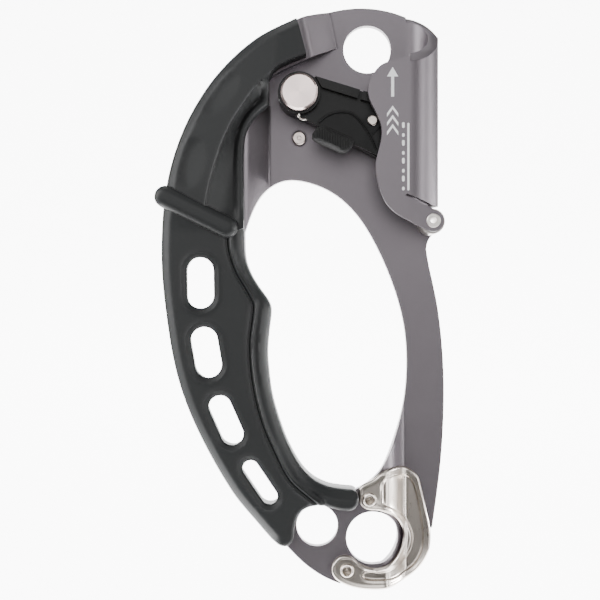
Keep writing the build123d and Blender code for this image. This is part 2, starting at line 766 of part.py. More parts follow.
def tooth(angle, y):
    """One gripping tooth, raked so that it bites as the cam is drawn up."""
    x, z = toe_point(angle)
    place = Plane(
        origin=(x, y, z),
        z_dir=(cos(radians(angle - TOOTH_RAKE)), 0, sin(radians(angle - TOOTH_RAKE))),
    )
    return place * Pos(0, 0, TOOTH_HEIGHT / 2 - 0.3) * Cone(TOOTH_BASE_R, 0.12, TOOTH_HEIGHT + 0.6)


def make_cam():
    """The toothed steel cam on its boss, with the pockets of both springs."""
    face = cam_face()
    cam = slab(face, CAM_FRONT_Y, CAM_BACK_Y)
    toe_box = Pos(11.5, 138.0) * Rectangle(10.0, 40.0)
    cam += slab(face & toe_box, -CAM_BACK_Y, CAM_BACK_Y)
    cam += rod(PIVOT, CAM_BOSS_R, CAM_BOSS_FRONT_Y, CAM_BOSS_BACK_Y)
    cam += slab(top_bar_face(), TOP_BAR_Y, CAM_FRONT_Y)
    cam -= rod(PIVOT, SPRING_CAVITY_R, CAM_BOSS_FRONT_Y, SPRING_FLOOR_Y)
    cam -= rod(PIVOT, CAM_BUSH_R, -20, 20)
    cam -= Pos(PIVOT[0], SPRING_Y0, PIVOT[1]) * Rot(0, LEG_TURN, 0) * leg_slot()
    cam -= rod(TRIGGER_PIN, TRIGGER_PIN_R, -20, 20)
    cam -= rod(TRIGGER_PIN, 3.0, CAM_FRONT_Y, CAM_FRONT_Y + 2.2)
    cam -= rod(TRIGGER_PIN, 2.0, CAM_BACK_Y - 0.6, CAM_BACK_Y)
    step = 2 * (TOE_HALF_ANGLE - 3) / (TOOTH_ROWS - 1)
    for row in range(TOOTH_ROWS):
        columns = TOOTH_COLUMNS if row % 2 == 0 else TOOTH_COLUMNS_BETWEEN
        for y in columns:
            cam += tooth(TOE_HALF_ANGLE - 3 - row * step, y)
    return cam


def leg_slot():
    """The slot that lets the cam spring's outer leg out of the boss."""
    return Pos(SPRING_CAVITY_R + 0.4, 0, 0) * Box(3.2, 2 * SPRING_WIRE_R + 0.3, 1.6)


def make_cam_bush():
    """The bronze bush pressed into the cam."""
    sleeve = rod(PIVOT, CAM_BUSH_R, SPRING_FLOOR_Y, CAM_BOSS_BACK_Y)
    return sleeve - rod(PIVOT, PIVOT_SHAFT_R + RUNNING_GAP, -20, 20)


def coil(radius, wire, pitch, turns):
    """A close coil of round wire about +z."""
    path = Helix(pitch, pitch * turns, radius)
    start = Plane(origin=path @ 0, z_dir=path % 0)
    return sweep(start * Circle(wire), path)


def make_cam_spring():
    """The torsion spring in the boss; its outer leg shows as a hook below the pivot."""
    height = SPRING_PITCH * SPRING_TURNS
    wound = coil(SPRING_MEAN_R, SPRING_WIRE_R, SPRING_PITCH, SPRING_TURNS)
    wound = Pos(PIVOT[0], SPRING_Y0, PIVOT[1]) * Rot(-90, 0, 0) * wound
    inner = Pos(PIVOT[0], SPRING_Y0, PIVOT[1]) * Rot(0, ANCHOR_TURN, 0)
    inner = inner * Pos(3.6, 0, 0) * Rot(0, 90, 0) * Cylinder(SPRING_WIRE_R, 2.6)
    outer = Pos(PIVOT[0], SPRING_Y0, PIVOT[1]) * Rot(0, LEG_TURN, 0)
    outer = outer * Pos(6.5, 0, 0) * Rot(0, 90, 0) * Cylinder(SPRING_WIRE_R, 3.4)
    return wound + inner + outer


# ---------------------------------------------------------------- trigger
def lens_face():
    """The trigger's raised back: an arc above and a straight lower edge."""
    return outline(
        Spline(
            (-19.4, 142.2),
            (-16.2, 144.7),
            (-12.4, 146.2),
            (-8.0, 146.0),
            (-5.0, 144.2),
            (-2.6, 141.3),
            (0.0, 137.2),
            (1.9, 133.2),
        ),
        Line((1.9, 133.2), (2.6, 130.6)),
        Line((2.6, 130.6), (-7.4, 134.9)),
        Line((-7.4, 134.9), (-19.4, 141.4)),
        Line((-19.4, 141.4), (-19.4, 142.2)),
    )


def make_trigger():
    """The trigger lever that pivots on the cam's arm."""
    ear = disc(TRIGGER_PIN, 3.0)
    neck = outline(
        Line((-2.9, 143.6), (-8.0, 144.6)),
        Line((-8.0, 144.6), (-2.0, 136.0)),
        Line((-2.0, 136.0), (2.6, 141.4)),
        Line((2.6, 141.4), (-2.9, 143.6)),
    )
    plate = slab((lens_face() + ear + neck), EAR_FRONT_Y, LEVER_BACK_Y)
    plate += slab(lens_face() - disc(TRIGGER_PIN, 3.6), LENS_FRONT_Y, LEVER_BACK_Y)
    plate -= rod(TRIGGER_PIN, TRIGGER_PIN_R + RUNNING_GAP, -20, 20)
    plate -= Pos(TRIGGER_PAD[0], LEVER_BACK_Y - 1.0, TRIGGER_PAD[1]) * Rot(90, 0, 0) * Cylinder(1.2, 12)
    return plate


def make_trigger_pad():
    """The thumb pad, pegged into the lever and ribbed across."""
    block = Rot(0, 0, TRIGGER_PAD_TURN) * RectangleRounded(PAD_LENGTH, PAD_WIDTH, 2.3)
    pad = slab(Pos(*TRIGGER_PAD) * block, PAD_FRONT_Y, LENS_FRONT_Y)
    pad = chamfer(pad.faces().sort_by(Axis.Y)[0].edges(), 0.6)
    count = int(PAD_LENGTH / RIB_PITCH) - 2
    for index in range(count):
        along = (index - (count - 1) / 2) * RIB_PITCH
        groove = Rot(0, 0, TRIGGER_PAD_TURN) * Pos(along, 0) * Rectangle(RIB_PITCH * 0.42, 12.0)
        pad -= slab(Pos(*TRIGGER_PAD) * groove, PAD_FRONT_Y - 1, PAD_FRONT_Y + 0.4)
    return pad + slab(disc(TRIGGER_PAD, 1.2), LENS_FRONT_Y, LEVER_BACK_Y)


def make_trigger_pin():
    """The rivet that carries the trigger on the cam."""
    pin = rod(TRIGGER_PIN, TRIGGER_PIN_R, EAR_FRONT_Y - 0.25, CAM_BACK_Y)
    head = rod(TRIGGER_PIN, 1.8, EAR_FRONT_Y - 1.1, EAR_FRONT_Y - 0.25)
    head = chamfer(head.faces().sort_by(Axis.Y)[0].edges(), 0.35)
    return pin + head + rod(TRIGGER_PIN, 1.95, CAM_BACK_Y - 0.6, CAM_BACK_Y)


def make_trigger_spring():
    """The small coil round the trigger's pin, in its pocket in the cam."""
    wound = coil(2.2, 0.25, 0.6, 2.5)
    return Pos(TRIGGER_PIN[0], CAM_FRONT_Y + 0.35, TRIGGER_PIN[1]) * Rot(-90, 0, 0) * wound


# ---------------------------------------------------------------- write the parts
NODES = {
    "frame_plate": make_frame,
    "wear_plate": make_wear_plate,
    "wear_plate_rivets": make_wear_rivets,
    "grip_front_shell": make_grip_front,
    "grip_rear_shell": make_grip_rear,
    "grip_finger_strip": make_finger_strip,
    "grip_collar": make_collar,
    "grip_screws": make_grip_screws,
    "cam_pivot_pin": make_pivot_pin,
    "cam_pivot_washers": make_pivot_washers,
    "stop_pin": make_stop_pin,
    "roller_axle": make_roller_axle,
    "roller_washers": make_roller_washers,
    "roller": make_roller,
    "roller_bush": make_roller_bush,
    "cam": make_cam,
    "cam_bush": make_cam_bush,
    "cam_spring": make_cam_spring,
    "trigger_lever": make_trigger,
    "trigger_pad": make_trigger_pad,
    "trigger_pin": make_trigger_pin,
    "trigger_spring": make_trigger_spring,
}

for name, maker in NODES.items():
    shape = maker()
    solids = shape.solids()
    print(name, len(solids), round(sum(s.volume for s in solids), 1), shape.is_valid)
    export_step(shape, f"parts/{name}.step")
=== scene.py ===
"""Looks of a left-hand rope ascender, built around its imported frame.

Everything is in metres in the row frame: +X towards the rope channel, +Z up, +Y to the back.
Shapes are drawn in millimetres and scaled once, in `mm`.
"""

import logging
import math
import random
from dataclasses import dataclass, field
from enum import Enum
from typing import Callable, Iterable, Sequence

import bmesh
import bpy
import numpy as np
from mathutils import Matrix, Vector
from mathutils.geometry import delaunay_2d_cdt


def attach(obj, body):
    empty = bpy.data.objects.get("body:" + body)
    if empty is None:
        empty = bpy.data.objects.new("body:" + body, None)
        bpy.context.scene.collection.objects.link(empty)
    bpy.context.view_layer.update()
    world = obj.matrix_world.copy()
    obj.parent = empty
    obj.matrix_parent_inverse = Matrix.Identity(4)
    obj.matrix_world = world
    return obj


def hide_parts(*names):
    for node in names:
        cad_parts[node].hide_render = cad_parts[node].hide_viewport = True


LOG = logging.getLogger("ascender")
MM = 0.001
CHANNEL_END = (11.4, 158.0)  # the channel's upper end lies past these places in x and z
CHANNEL_END_ROUND = 1.25

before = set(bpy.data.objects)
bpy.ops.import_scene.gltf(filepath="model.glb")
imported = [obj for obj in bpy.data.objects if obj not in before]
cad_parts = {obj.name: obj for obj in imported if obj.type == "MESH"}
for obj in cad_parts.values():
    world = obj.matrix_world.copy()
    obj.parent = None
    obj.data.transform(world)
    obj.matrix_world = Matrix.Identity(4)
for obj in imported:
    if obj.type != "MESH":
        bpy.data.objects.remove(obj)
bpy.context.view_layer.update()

Point = tuple[float, float]


# ---------------------------------------------------------------- shader graph
class Value:
    """A node output or a number, with arithmetic that adds Math nodes."""

    def __init__(self, graph: "Graph", source: object) -> None:
        """Wrap a socket or a number of a graph."""
        self.graph = graph
        self.source = source

    def _with(self, other: object, operation: str, swap: bool = False) -> "Value":
        """Join two operands with one Math node."""
        pair = (other, self) if swap else (self, other)
        return self.graph.math(operation, *pair)

    def __add__(self, other: object) -> "Value":
        """Return the sum."""
        return self._with(other, "ADD")

    __radd__ = __add__

    def __sub__(self, other: object) -> "Value":
        """Return the difference."""
        return self._with(other, "SUBTRACT")

    def __rsub__(self, other: object) -> "Value":
        """Return the reflected difference."""
        return self._with(other, "SUBTRACT", swap=True)

    def __mul__(self, other: object) -> "Value":
        """Return the product."""
        return self._with(other, "MULTIPLY")

    __rmul__ = __mul__

    def __truediv__(self, other: object) -> "Value":
        """Return the quotient."""
        return self._with(other, "DIVIDE")

    def __pow__(self, other: object) -> "Value":
        """Return the power."""
        return self._with(other, "POWER")

    def clamped(self, low: float, high: float) -> "Value":
        """Return the value held between two limits."""
        return self.graph.math("MAXIMUM", self.graph.math("MINIMUM", self, high), low)

    def spread(self, low: float, high: float) -> "Value":
        """Map 0..1 to low..high."""
        return self * (high - low) + low


class Graph:
    """One material's node tree."""

    def __init__(self, name: str) -> None:
        """Start an empty tree with a Principled shader."""
        self.material = bpy.data.materials.new(name)
        self.material.use_nodes = True
        self.tree = self.material.node_tree
        self.tree.nodes.clear()
        self.output = self.tree.nodes.new("ShaderNodeOutputMaterial")
        self.shader = self.tree.nodes.new("ShaderNodeBsdfPrincipled")
        self.tree.links.new(self.shader.outputs[0], self.output.inputs[0])

    def node(self, kind: str, settings: dict | None = None, inputs: dict | None = None) -> bpy.types.Node:
        """Add a node.

        Args:
            kind: the node's type.
            settings: attributes to set on it.
            inputs: sockets to set or link, by name or number.

        Returns:
            The new node.
        """
        made = self.tree.nodes.new(kind)
        for key, value in (settings or {}).items():
            setattr(made, key, value)
        for key, value in (inputs or {}).items():
            self.feed(made.inputs[key], value)
        return made

    def feed(self, socket: bpy.types.NodeSocket, value: object) -> None:
        """Link a Value to a socket, or set a constant on it."""
        source = value.source if isinstance(value, Value) else value
        if isinstance(source, bpy.types.NodeSocket):
            self.tree.links.new(source, socket)
        else:
            socket.default_value = source

    def math(self, operation: str, *operands: object) -> Value:
        """Add a Math node and return its output."""
        made = self.node("ShaderNodeMath", {"operation": operation}, dict(enumerate(operands)))
        return Value(self, made.outputs[0])

    def place(self) -> tuple[Value, Value, Value, Value]:
        """Return the object coordinates as a vector and as x, y and z."""
        vector = self.node("ShaderNodeTexCoord").outputs["Object"]
        parts = self.node("ShaderNodeSeparateXYZ", inputs={0: Value(self, vector)})
        x, y, z = (Value(self, parts.outputs[index]) for index in range(3))
        return Value(self, vector), x, y, z

    def scaled(self, vector: Value, factors: Sequence[float]) -> Value:
        """Return a vector multiplied part by part."""
        inputs = {0: vector, 1: tuple(factors)}
        made = self.node("ShaderNodeVectorMath", {"operation": "MULTIPLY"}, inputs)
        return Value(self, made.outputs[0])

    def noise(self, vector: Value, scale: float, detail: float = 3.0, rough: float = 0.55) -> Value:
        """Return a noise value about 0.5 at a scale in waves per metre."""
        inputs = {"Vector": vector, "Scale": scale, "Detail": detail, "Roughness": rough}
        return Value(self, self.node("ShaderNodeTexNoise", inputs=inputs).outputs[0])

    def mix(self, factor: object, first: Sequence[float], second: Sequence[float]) -> Value:
        """Return a colour between two colours."""
        made = self.node(
            "ShaderNodeMix",
            {"data_type": "RGBA"},
            {0: factor, 6: (*first, 1.0), 7: (*second, 1.0)},
        )
        return Value(self, made.outputs[2])

    def bump(self, height: Value, strength: float, distance: float) -> Value:
        """Return a normal bent by a height."""
        made = self.node(
            "ShaderNodeBump", inputs={"Strength": strength, "Distance": distance, "Height": height}
        )
        return Value(self, made.outputs[0])

    def finish(self, **sockets: object) -> bpy.types.Material:
        """Feed the shader's sockets and return the material."""
        for key, value in sockets.items():
            self.feed(self.shader.inputs[key.replace("_", " ").title().replace("Ior", "IOR")], value)
        return self.material


# ---------------------------------------------------------------- finishes
@dataclass(frozen=True)
class Finish:
    """A surface with a mottled colour, a mottled roughness and a fine grain."""

    name: str
    slot: str
    light: tuple[float, float, float]
    dark: tuple[float, float, float]
    metallic: float
    smooth: float
    rough: float
    grain: float = 4000.0
    grain_depth: float = 0.00002
    grain_strength: float = 0.25
    mottle: float = 90.0
    stretch: tuple[float, float, float] = (1.0, 1.0, 1.0)
    sheen: float = 0.5

    def build(self) -> bpy.types.Material:
        """Make the material."""
        graph = Graph(self.name)
        vector, *_ = graph.place()
        grainy = graph.scaled(vector, self.stretch)
        broad = graph.noise(vector, self.mottle, 2.0)
        fine = graph.noise(grainy, self.grain, 2.0)
        tone = (broad * 0.6 + fine * 0.4).clamped(0.0, 1.0)
        return graph.finish(
            base_color=graph.mix(tone, self.dark, self.light),
            metallic=self.metallic,
            specular_ior_level=self.sheen,
            roughness=(broad * 0.5 + fine * 0.5).spread(self.smooth, self.rough),
            normal=graph.bump(fine, self.grain_strength, self.grain_depth),
        )


@dataclass(frozen=True)
class TurnedFinish:
    """Steel faced on a lathe: fine rings about an axis along y, with a painted reflection of two lighter
    and two darker sectors round the axis in its colour.
    """

    name: str
    slot: str
    centre: Point
    colour: tuple[float, float, float] = (0.80, 0.74, 0.71)
    pitch: float = 0.00016

    def build(self) -> bpy.types.Material:
        """Make the material."""
        graph = Graph(self.name)
        vector, x, _, z = graph.place()
        dx = x - self.centre[0] * MM
        dz = z - self.centre[1] * MM
        radius = (dx * dx + dz * dz) ** 0.5
        rings = graph.math("SINE", radius * (2 * math.pi / self.pitch))
        # painted reflection: the colour brightens and darkens in two pairs of sectors round the axis,
        # standing in for a streaked highlight
        painted_sheen_sectors = graph.math("SINE", graph.math("ARCTAN2", dz, dx) * 2.0) * 0.5 + 0.5
        fine = graph.noise(vector, 900.0)
        # dark end of the colour, reached by the painted shade sectors and by the random grain
        shade_and_dark_tone = tuple(part * 0.74 for part in self.colour)
        return graph.finish(
            base_color=graph.mix(painted_sheen_sectors * 0.55 + fine * 0.35, shade_and_dark_tone, self.colour),
            metallic=1.0,
            roughness=(fine * 0.6 + rings * 0.2 + 0.2).clamped(0.0, 1.0).spread(0.24, 0.4),
            normal=graph.bump(rings, 0.18, 0.000012),
        )


class Finishes(Enum):
    """Every finish of the object."""

    ALUMINIUM = Finish(
        "Blasted grey anodised aluminium", "anodised_aluminium",
        (0.168, 0.152, 0.165), (0.134, 0.120, 0.131), 0.80, 0.36, 0.47, 5200.0, 0.00003, 0.22, 60.0,
    )
    STAINLESS = Finish(
        "Satin stainless steel", "stainless_steel",
        (0.64, 0.585, 0.53), (0.55, 0.50, 0.45), 1.0, 0.24, 0.33, 2600.0, 0.000006, 0.06, 120.0,
        (1.0, 1.0, 0.15),
    )
    GRIP = Finish(
        "Satin moulded grip", "grip_moulding",
        (0.0150, 0.0160, 0.0164), (0.0112, 0.0120, 0.0124), 0.0, 0.46, 0.56, 6500.0, 0.00002, 0.16, 50.0,
        sheen=0.3,
    )
    RUBBER = Finish(
        "Soft grip strip", "grip_rubber",
        (0.0140, 0.0150, 0.0154), (0.0104, 0.0112, 0.0116), 0.0, 0.44, 0.54, 6500.0, 0.00002, 0.16, 50.0,
        sheen=0.3,
    )
    BLACK_STEEL = Finish(
        "Blackened cam steel", "blackened_steel",
        (0.0030, 0.0030, 0.0029), (0.0018, 0.0018, 0.0018), 0.0, 0.26, 0.40, 3800.0, 0.00004, 0.30, 120.0,
        sheen=0.2,
    )
    BLACK_MOULDING = Finish(
        "Black trigger moulding", "black_moulding",
        (0.0032, 0.0032, 0.0032), (0.002, 0.002, 0.002), 0.0, 0.34, 0.48, 4200.0, 0.00004, 0.35, 150.0,
        sheen=0.2,
    )
    THUMB_PAD = Finish(
        "Ribbed thumb pad", "black_moulding",
        (0.020, 0.020, 0.020), (0.013, 0.013, 0.013), 0.0, 0.58, 0.74, 4200.0, 0.00004, 0.35, 150.0,
        sheen=0.07,
    )
    SPRING = Finish(
        "Drawn spring wire", "spring_steel",
        (0.72, 0.68, 0.64), (0.52, 0.49, 0.46), 1.0, 0.2, 0.34,
    )
    BRONZE = Finish(
        "Bearing bronze", "bronze",
        (0.55, 0.36, 0.17), (0.40, 0.25, 0.11), 1.0, 0.3, 0.45,
    )
    PAINT = Finish(
        "White printed marks", "anodised_aluminium",
        (0.86, 0.86, 0.86), (0.74, 0.74, 0.75), 0.0, 0.45, 0.6,
    )
    PIVOT = TurnedFinish("Turned pivot head", "turned_steel", (-25.2, 152.3), (0.90, 0.75, 0.715))
    STOP = TurnedFinish("Turned stop pin", "turned_steel", (-25.2, 138.2), (0.57, 0.50, 0.465), 0.0003)
    ROLLER = TurnedFinish("Turned roller steel", "turned_steel", (20.1, 108.5), (0.70, 0.66, 0.63))
    TRIGGER_PIN = TurnedFinish("Turned trigger rivet", "turned_steel", (-0.1, 142.9), (0.62, 0.56, 0.51))

    def material(self) -> bpy.types.Material:
        """Return the finish's material, made the first time it is asked for."""
        found = bpy.data.materials.get(self.value.name)
        return found or self.value.build()

    def dress(self, piece: bpy.types.Object) -> bpy.types.Object:
        """Give a piece this finish alone."""
        piece.data.materials.clear()
        piece.data.materials.append(self.material())
        return piece


# ---------------------------------------------------------------- shared shape tools
def mm(*parts: float) -> Vector:
    """Return a vector given in millimetres."""
    return Vector(parts) * MM


def curve_through(points: Sequence[Point], step: float = 0.8, closed: bool = False) -> list[Point]:
    """Draw a smooth line through points.

    Args:
        points: places in x and z, in millimetres.
        step: spacing of the points returned.
        closed: whether the line comes back to its start.

    Returns:
        Evenly spaced points along the line.
    """
    count = len(points)
    spans = count if closed else count - 1
    out: list[Point] = []
    for index in range(spans):
        a, b = np.array(points[index]), np.array(points[(index + 1) % count])
        before = np.array(points[index - 1]) if index or closed else 2 * a - b
        after = np.array(points[(index + 2) % count]) if index + 2 < count or closed else 2 * b - a
        length = float(np.linalg.norm(b - a))
        pieces = max(1, round(length / step))
        ta = (b - before) * length / (np.linalg.norm(a - before) + length)
        tb = (after - a) * length / (np.linalg.norm(after - b) + length)
        for part in range(pieces):
            t = part / pieces
            h = 2 * t**3 - 3 * t**2 + 1, t**3 - 2 * t**2 + t, -2 * t**3 + 3 * t**2, t**3 - t**2
            out.append(tuple(h[0] * a + h[1] * ta + h[2] * b + h[3] * tb))
    if not closed:
        out.append(tuple(points[-1]))
    return out


def corners(points: Sequence[Point], step: float = 0.8, closed: bool = False) -> list[Point]:
    """Draw straight lines between points, cut into even steps."""
    out: list[Point] = []
    count = len(points)
    for index in range(count if closed else count - 1):
        a, b = np.array(points[index]), np.array(points[(index + 1) % count])
        pieces = max(1, round(float(np.linalg.norm(b - a)) / step))
        out += [tuple(a + (b - a) * part / pieces) for part in range(pieces)]
    if not closed:
        out.append(tuple(points[-1]))
    return out


def arc(centre: Point, radius: float, start: float, stop: float, step: float = 0.5) -> list[Point]:
    """Draw a circular arc between two angles in degrees."""
    pieces = max(4, round(abs(math.radians(stop - start)) * radius / step))
    angles = [math.radians(start + (stop - start) * part / pieces) for part in range(pieces + 1)]
    return [(centre[0] + radius * math.cos(a), centre[1] + radius * math.sin(a)) for a in angles]


def stadium(x: float, z: float, length: float, width: float, turn: float) -> list[Point]:
    """Draw a slot's outline: its long side turned from vertical, in degrees."""
    half = (length - width) / 2
    lean = math.radians(turn + 90)
    ux, uz = math.cos(lean), math.sin(lean)
    one = arc((x + ux * half, z + uz * half), width / 2, turn, turn + 180)
    two = arc((x - ux * half, z - uz * half), width / 2, turn + 180, turn + 360)
    return one + corners((one[-1], two[0]))[1:-1] + two + corners((two[-1], one[0]))[1:-1]


def distance_to(points: np.ndarray, line: Sequence[Point], closed: bool) -> np.ndarray:
    """Measure how far points are from a line, in millimetres."""
    nodes = np.array(line)
    starts = nodes if closed else nodes[:-1]
    ends = np.roll(nodes, -1, axis=0) if closed else nodes[1:]
    best = np.full(len(points), 1e9)
    for a, b in zip(starts, ends):
        ab = b - a
        t = np.clip(((points - a) @ ab) / max(ab @ ab, 1e-12), 0, 1)
        best = np.minimum(best, np.linalg.norm(points - (a + t[:, None] * ab), axis=1))
    return best


def side_of(points: np.ndarray, line: Sequence[Point]) -> np.ndarray:
    """Measure signed distance to an open line: positive to its right."""
    nodes = np.array(line)
    best = np.full(len(points), 1e9)
    sign = np.ones(len(points))
    for a, b in zip(nodes[:-1], nodes[1:]):
        ab = b - a
        t = np.clip(((points - a) @ ab) / max(ab @ ab, 1e-12), 0, 1)
        away = points - (a + t[:, None] * ab)
        gap = np.linalg.norm(away, axis=1)
        nearer = gap < best - 1e-9
        cross = ab[1] * (points - a)[:, 0] - ab[0] * (points - a)[:, 1]
        sign = np.where(nearer, np.where(cross >= 0, 1.0, -1.0), sign)
        best = np.where(nearer, gap, best)
    return best * sign


def inside(points: np.ndarray, loop: Sequence[Point]) -> np.ndarray:
    """Tell which points lie inside a closed loop."""
    nodes = np.array(loop)
    ends = np.roll(nodes, -1, axis=0)
    found = np.zeros(len(points), bool)
    for (ax, az), (bx, bz) in zip(nodes, ends):
        if az == bz:
            continue
        crosses = (az > points[:, 1]) != (bz > points[:, 1])
        found ^= crosses & (points[:, 0] < (bx - ax) * (points[:, 1] - az) / (bz - az) + ax)
    return found


def smooth_step(value: np.ndarray) -> np.ndarray:
    """Ease 0..1 with level ends."""
    t = np.clip(value, 0, 1)
    return t * t * (3 - 2 * t)


def rounding(distance: np.ndarray, radius: float) -> np.ndarray:
    """Return how far a round edge has fallen, in millimetres, at a distance from the outline."""
    t = np.clip(1 - distance / radius, 0, 1)
    return radius * (1 - np.sqrt(np.clip(1 - t * t, 0, 1)))


Relief = Callable[[np.ndarray, np.ndarray, list[np.ndarray]], np.ndarray]


@dataclass
class Moulding:
    """A closed solid whose front is a relief over an outline with holes.

    The relief takes the points, their distances to the outline and to each hole, and returns y.
    """

    name: str
    loop: list[Point]
    relief: Relief
    back: float | Relief
    holes: list[list[Point]] = field(default_factory=list)
    grid: float = 1.0
    rings: tuple[float, ...] = (0.12, 0.35, 0.7, 1.2, 1.9)
    guides: list[list[Point]] = field(default_factory=list)
    guide_rows: tuple[float, ...] = (0.0, 0.3, 0.6, 0.9)
    flare: float = 0.0
    flare_reach: float = 2.5

    def _along_guides(self, loops: Sequence[Sequence[Point]]) -> list[np.ndarray]:
        """Place rows of points on and beside every guide line, clear of the outlines."""
        rows = []
        for guide in self.guides:
            nodes = np.array(guide)
            along = np.gradient(nodes, axis=0)
            normal = np.stack([along[:, 1], -along[:, 0]], axis=1)
            normal /= np.maximum(np.linalg.norm(normal, axis=1, keepdims=True), 1e-9)
            for reach in self.guide_rows:
                for sign in (-1, 1) if reach else (1,):
                    moved = nodes + normal * reach * sign
                    near = np.minimum.reduce([distance_to(moved, other, True) for other in loops])
                    off = distance_to(moved, guide, False)
                    rows.append(moved[(near > self.rings[-1] * 0.6) & (off > reach * 0.93)])
        return rows

    def _points(self) -> np.ndarray:
        """Scatter the inner points: rings along every edge, then a staggered grid."""
        loops = [self.loop, *self.holes]
        extra = []
        for loop in loops:
            nodes = np.array(loop)
            along = np.roll(nodes, -1, axis=0) - np.roll(nodes, 1, axis=0)
            normal = np.stack([along[:, 1], -along[:, 0]], axis=1)
            normal /= np.maximum(np.linalg.norm(normal, axis=1, keepdims=True), 1e-9)
            for reach in self.rings:
                for sign in (-1, 1):
                    moved = nodes + normal * reach * sign
                    near = np.minimum.reduce([distance_to(moved, other, True) for other in loops])
                    extra.append(moved[near > reach * 0.93])
        low, high = np.array(self.loop).min(0), np.array(self.loop).max(0)
        rows = np.arange(low[1], high[1], self.grid * 0.87)
        grid = []
        for index, z in enumerate(rows):
            xs = np.arange(low[0] + (index % 2) * self.grid / 2, high[0], self.grid)
            grid.append(np.stack([xs, np.full(len(xs), z)], axis=1))
        spread = np.concatenate(grid)
        near = np.minimum.reduce([distance_to(spread, other, True) for other in loops])
        clear = near > self.rings[-1] + self.grid * 0.35
        for guide in self.guides:
            clear &= distance_to(spread, guide, False) > self.guide_rows[-1] + self.grid * 0.35
        extra.append(spread[clear])
        extra += self._along_guides(loops)
        points = np.concatenate(extra)
        keep = inside(points, self.loop)
        for hole in self.holes:
            keep &= ~inside(points, hole)
        return points[keep]

    def _surface(self, points: np.ndarray, relief: float | Relief) -> np.ndarray:
        """Evaluate a relief, or a flat level, at points."""
        if not callable(relief):
            return np.full(len(points), float(relief))
        edge = distance_to(points, self.loop, True)
        return relief(points, edge, [distance_to(points, hole, True) for hole in self.holes])

    def _flared(self, places: np.ndarray) -> np.ndarray:
        """Return each back point's shift, which makes every hole wider there than in front."""
        shift = np.zeros_like(places)
        for hole in self.holes:
            nodes = np.array(hole)
            along = np.roll(nodes, -1, axis=0) - np.roll(nodes, 1, axis=0)
            normal = np.stack([along[:, 1], -along[:, 0]], axis=1)
            normal /= np.maximum(np.linalg.norm(normal, axis=1, keepdims=True), 1e-9)
            normal *= np.sign(((nodes - nodes.mean(0)) * normal).sum(axis=1, keepdims=True))
            gaps = np.linalg.norm(places[:, None] - nodes[None], axis=2)
            reach = self.flare * np.exp(-gaps.min(axis=1) / self.flare_reach)
            shift += normal[gaps.argmin(axis=1)] * reach[:, None]
        return shift

    def build(self) -> bpy.types.Object:
        """Make the closed mesh."""
        verts: list[Point] = []
        edges: list[tuple[int, int]] = []
        for loop in (self.loop, *self.holes):
            first = len(verts)
            verts += loop
            edges += [(first + i, first + (i + 1) % len(loop)) for i in range(len(loop))]
        verts += [tuple(p) for p in self._points()]
        found = delaunay_2d_cdt([Vector(v) for v in verts], edges, [], 0, 1e-5)
        places = np.array([tuple(v) for v in found[0]])
        middles = np.array([places[list(face)].mean(0) for face in found[2]])
        keep = inside(middles, self.loop)
        for hole in self.holes:
            keep &= ~inside(middles, hole)
        front = self._surface(places, self.relief)
        rear = self._surface(places, self.back)
        bm = bmesh.new()
        layer = bm.verts.layers.float.new("rear")
        made = [bm.verts.new((p[0] * MM, y * MM, p[1] * MM)) for p, y in zip(places, front)]
        for vert, y in zip(made, rear):
            vert[layer] = y * MM
        faces = [bm.faces.new([made[i] for i in face]) for face, kept in zip(found[2], keep) if kept]
        bmesh.ops.delete(bm, geom=[v for v in bm.verts if not v.link_faces], context="VERTS")
        grown = bmesh.ops.extrude_face_region(bm, geom=faces, use_keep_orig=True)
        moved = [item for item in grown["geom"] if isinstance(item, bmesh.types.BMVert)]
        shift = self._flared(np.array([(vert.co.x, vert.co.z) for vert in moved]) / MM) * MM
        for vert, (across, up) in zip(moved, shift):
            vert.co = (vert.co.x + across, vert[layer], vert.co.z + up)
        bmesh.ops.recalc_face_normals(bm, faces=bm.faces[:])
        return finished(bm, self.name, math.radians(42))


def finished(bm: bmesh.types.BMesh, name: str, crease: float) -> bpy.types.Object:
    """Turn a bmesh into an object that is smooth except across creases.

    Args:
        bm: the mesh, freed here.
        name: the object's name.
        crease: edges that turn by more than this angle stay sharp.

    Returns:
        The object, linked to the scene.
    """
    bm.normal_update()
    for face in bm.faces:
        face.smooth = True
    for edge in bm.edges:
        edge.smooth = len(edge.link_faces) == 2 and edge.calc_face_angle(0.0) < crease
    mesh = bpy.data.meshes.new(name)
    bm.to_mesh(mesh)
    bm.free()
    piece = bpy.data.objects.new(name, mesh)
    bpy.context.scene.collection.objects.link(piece)
    return piece


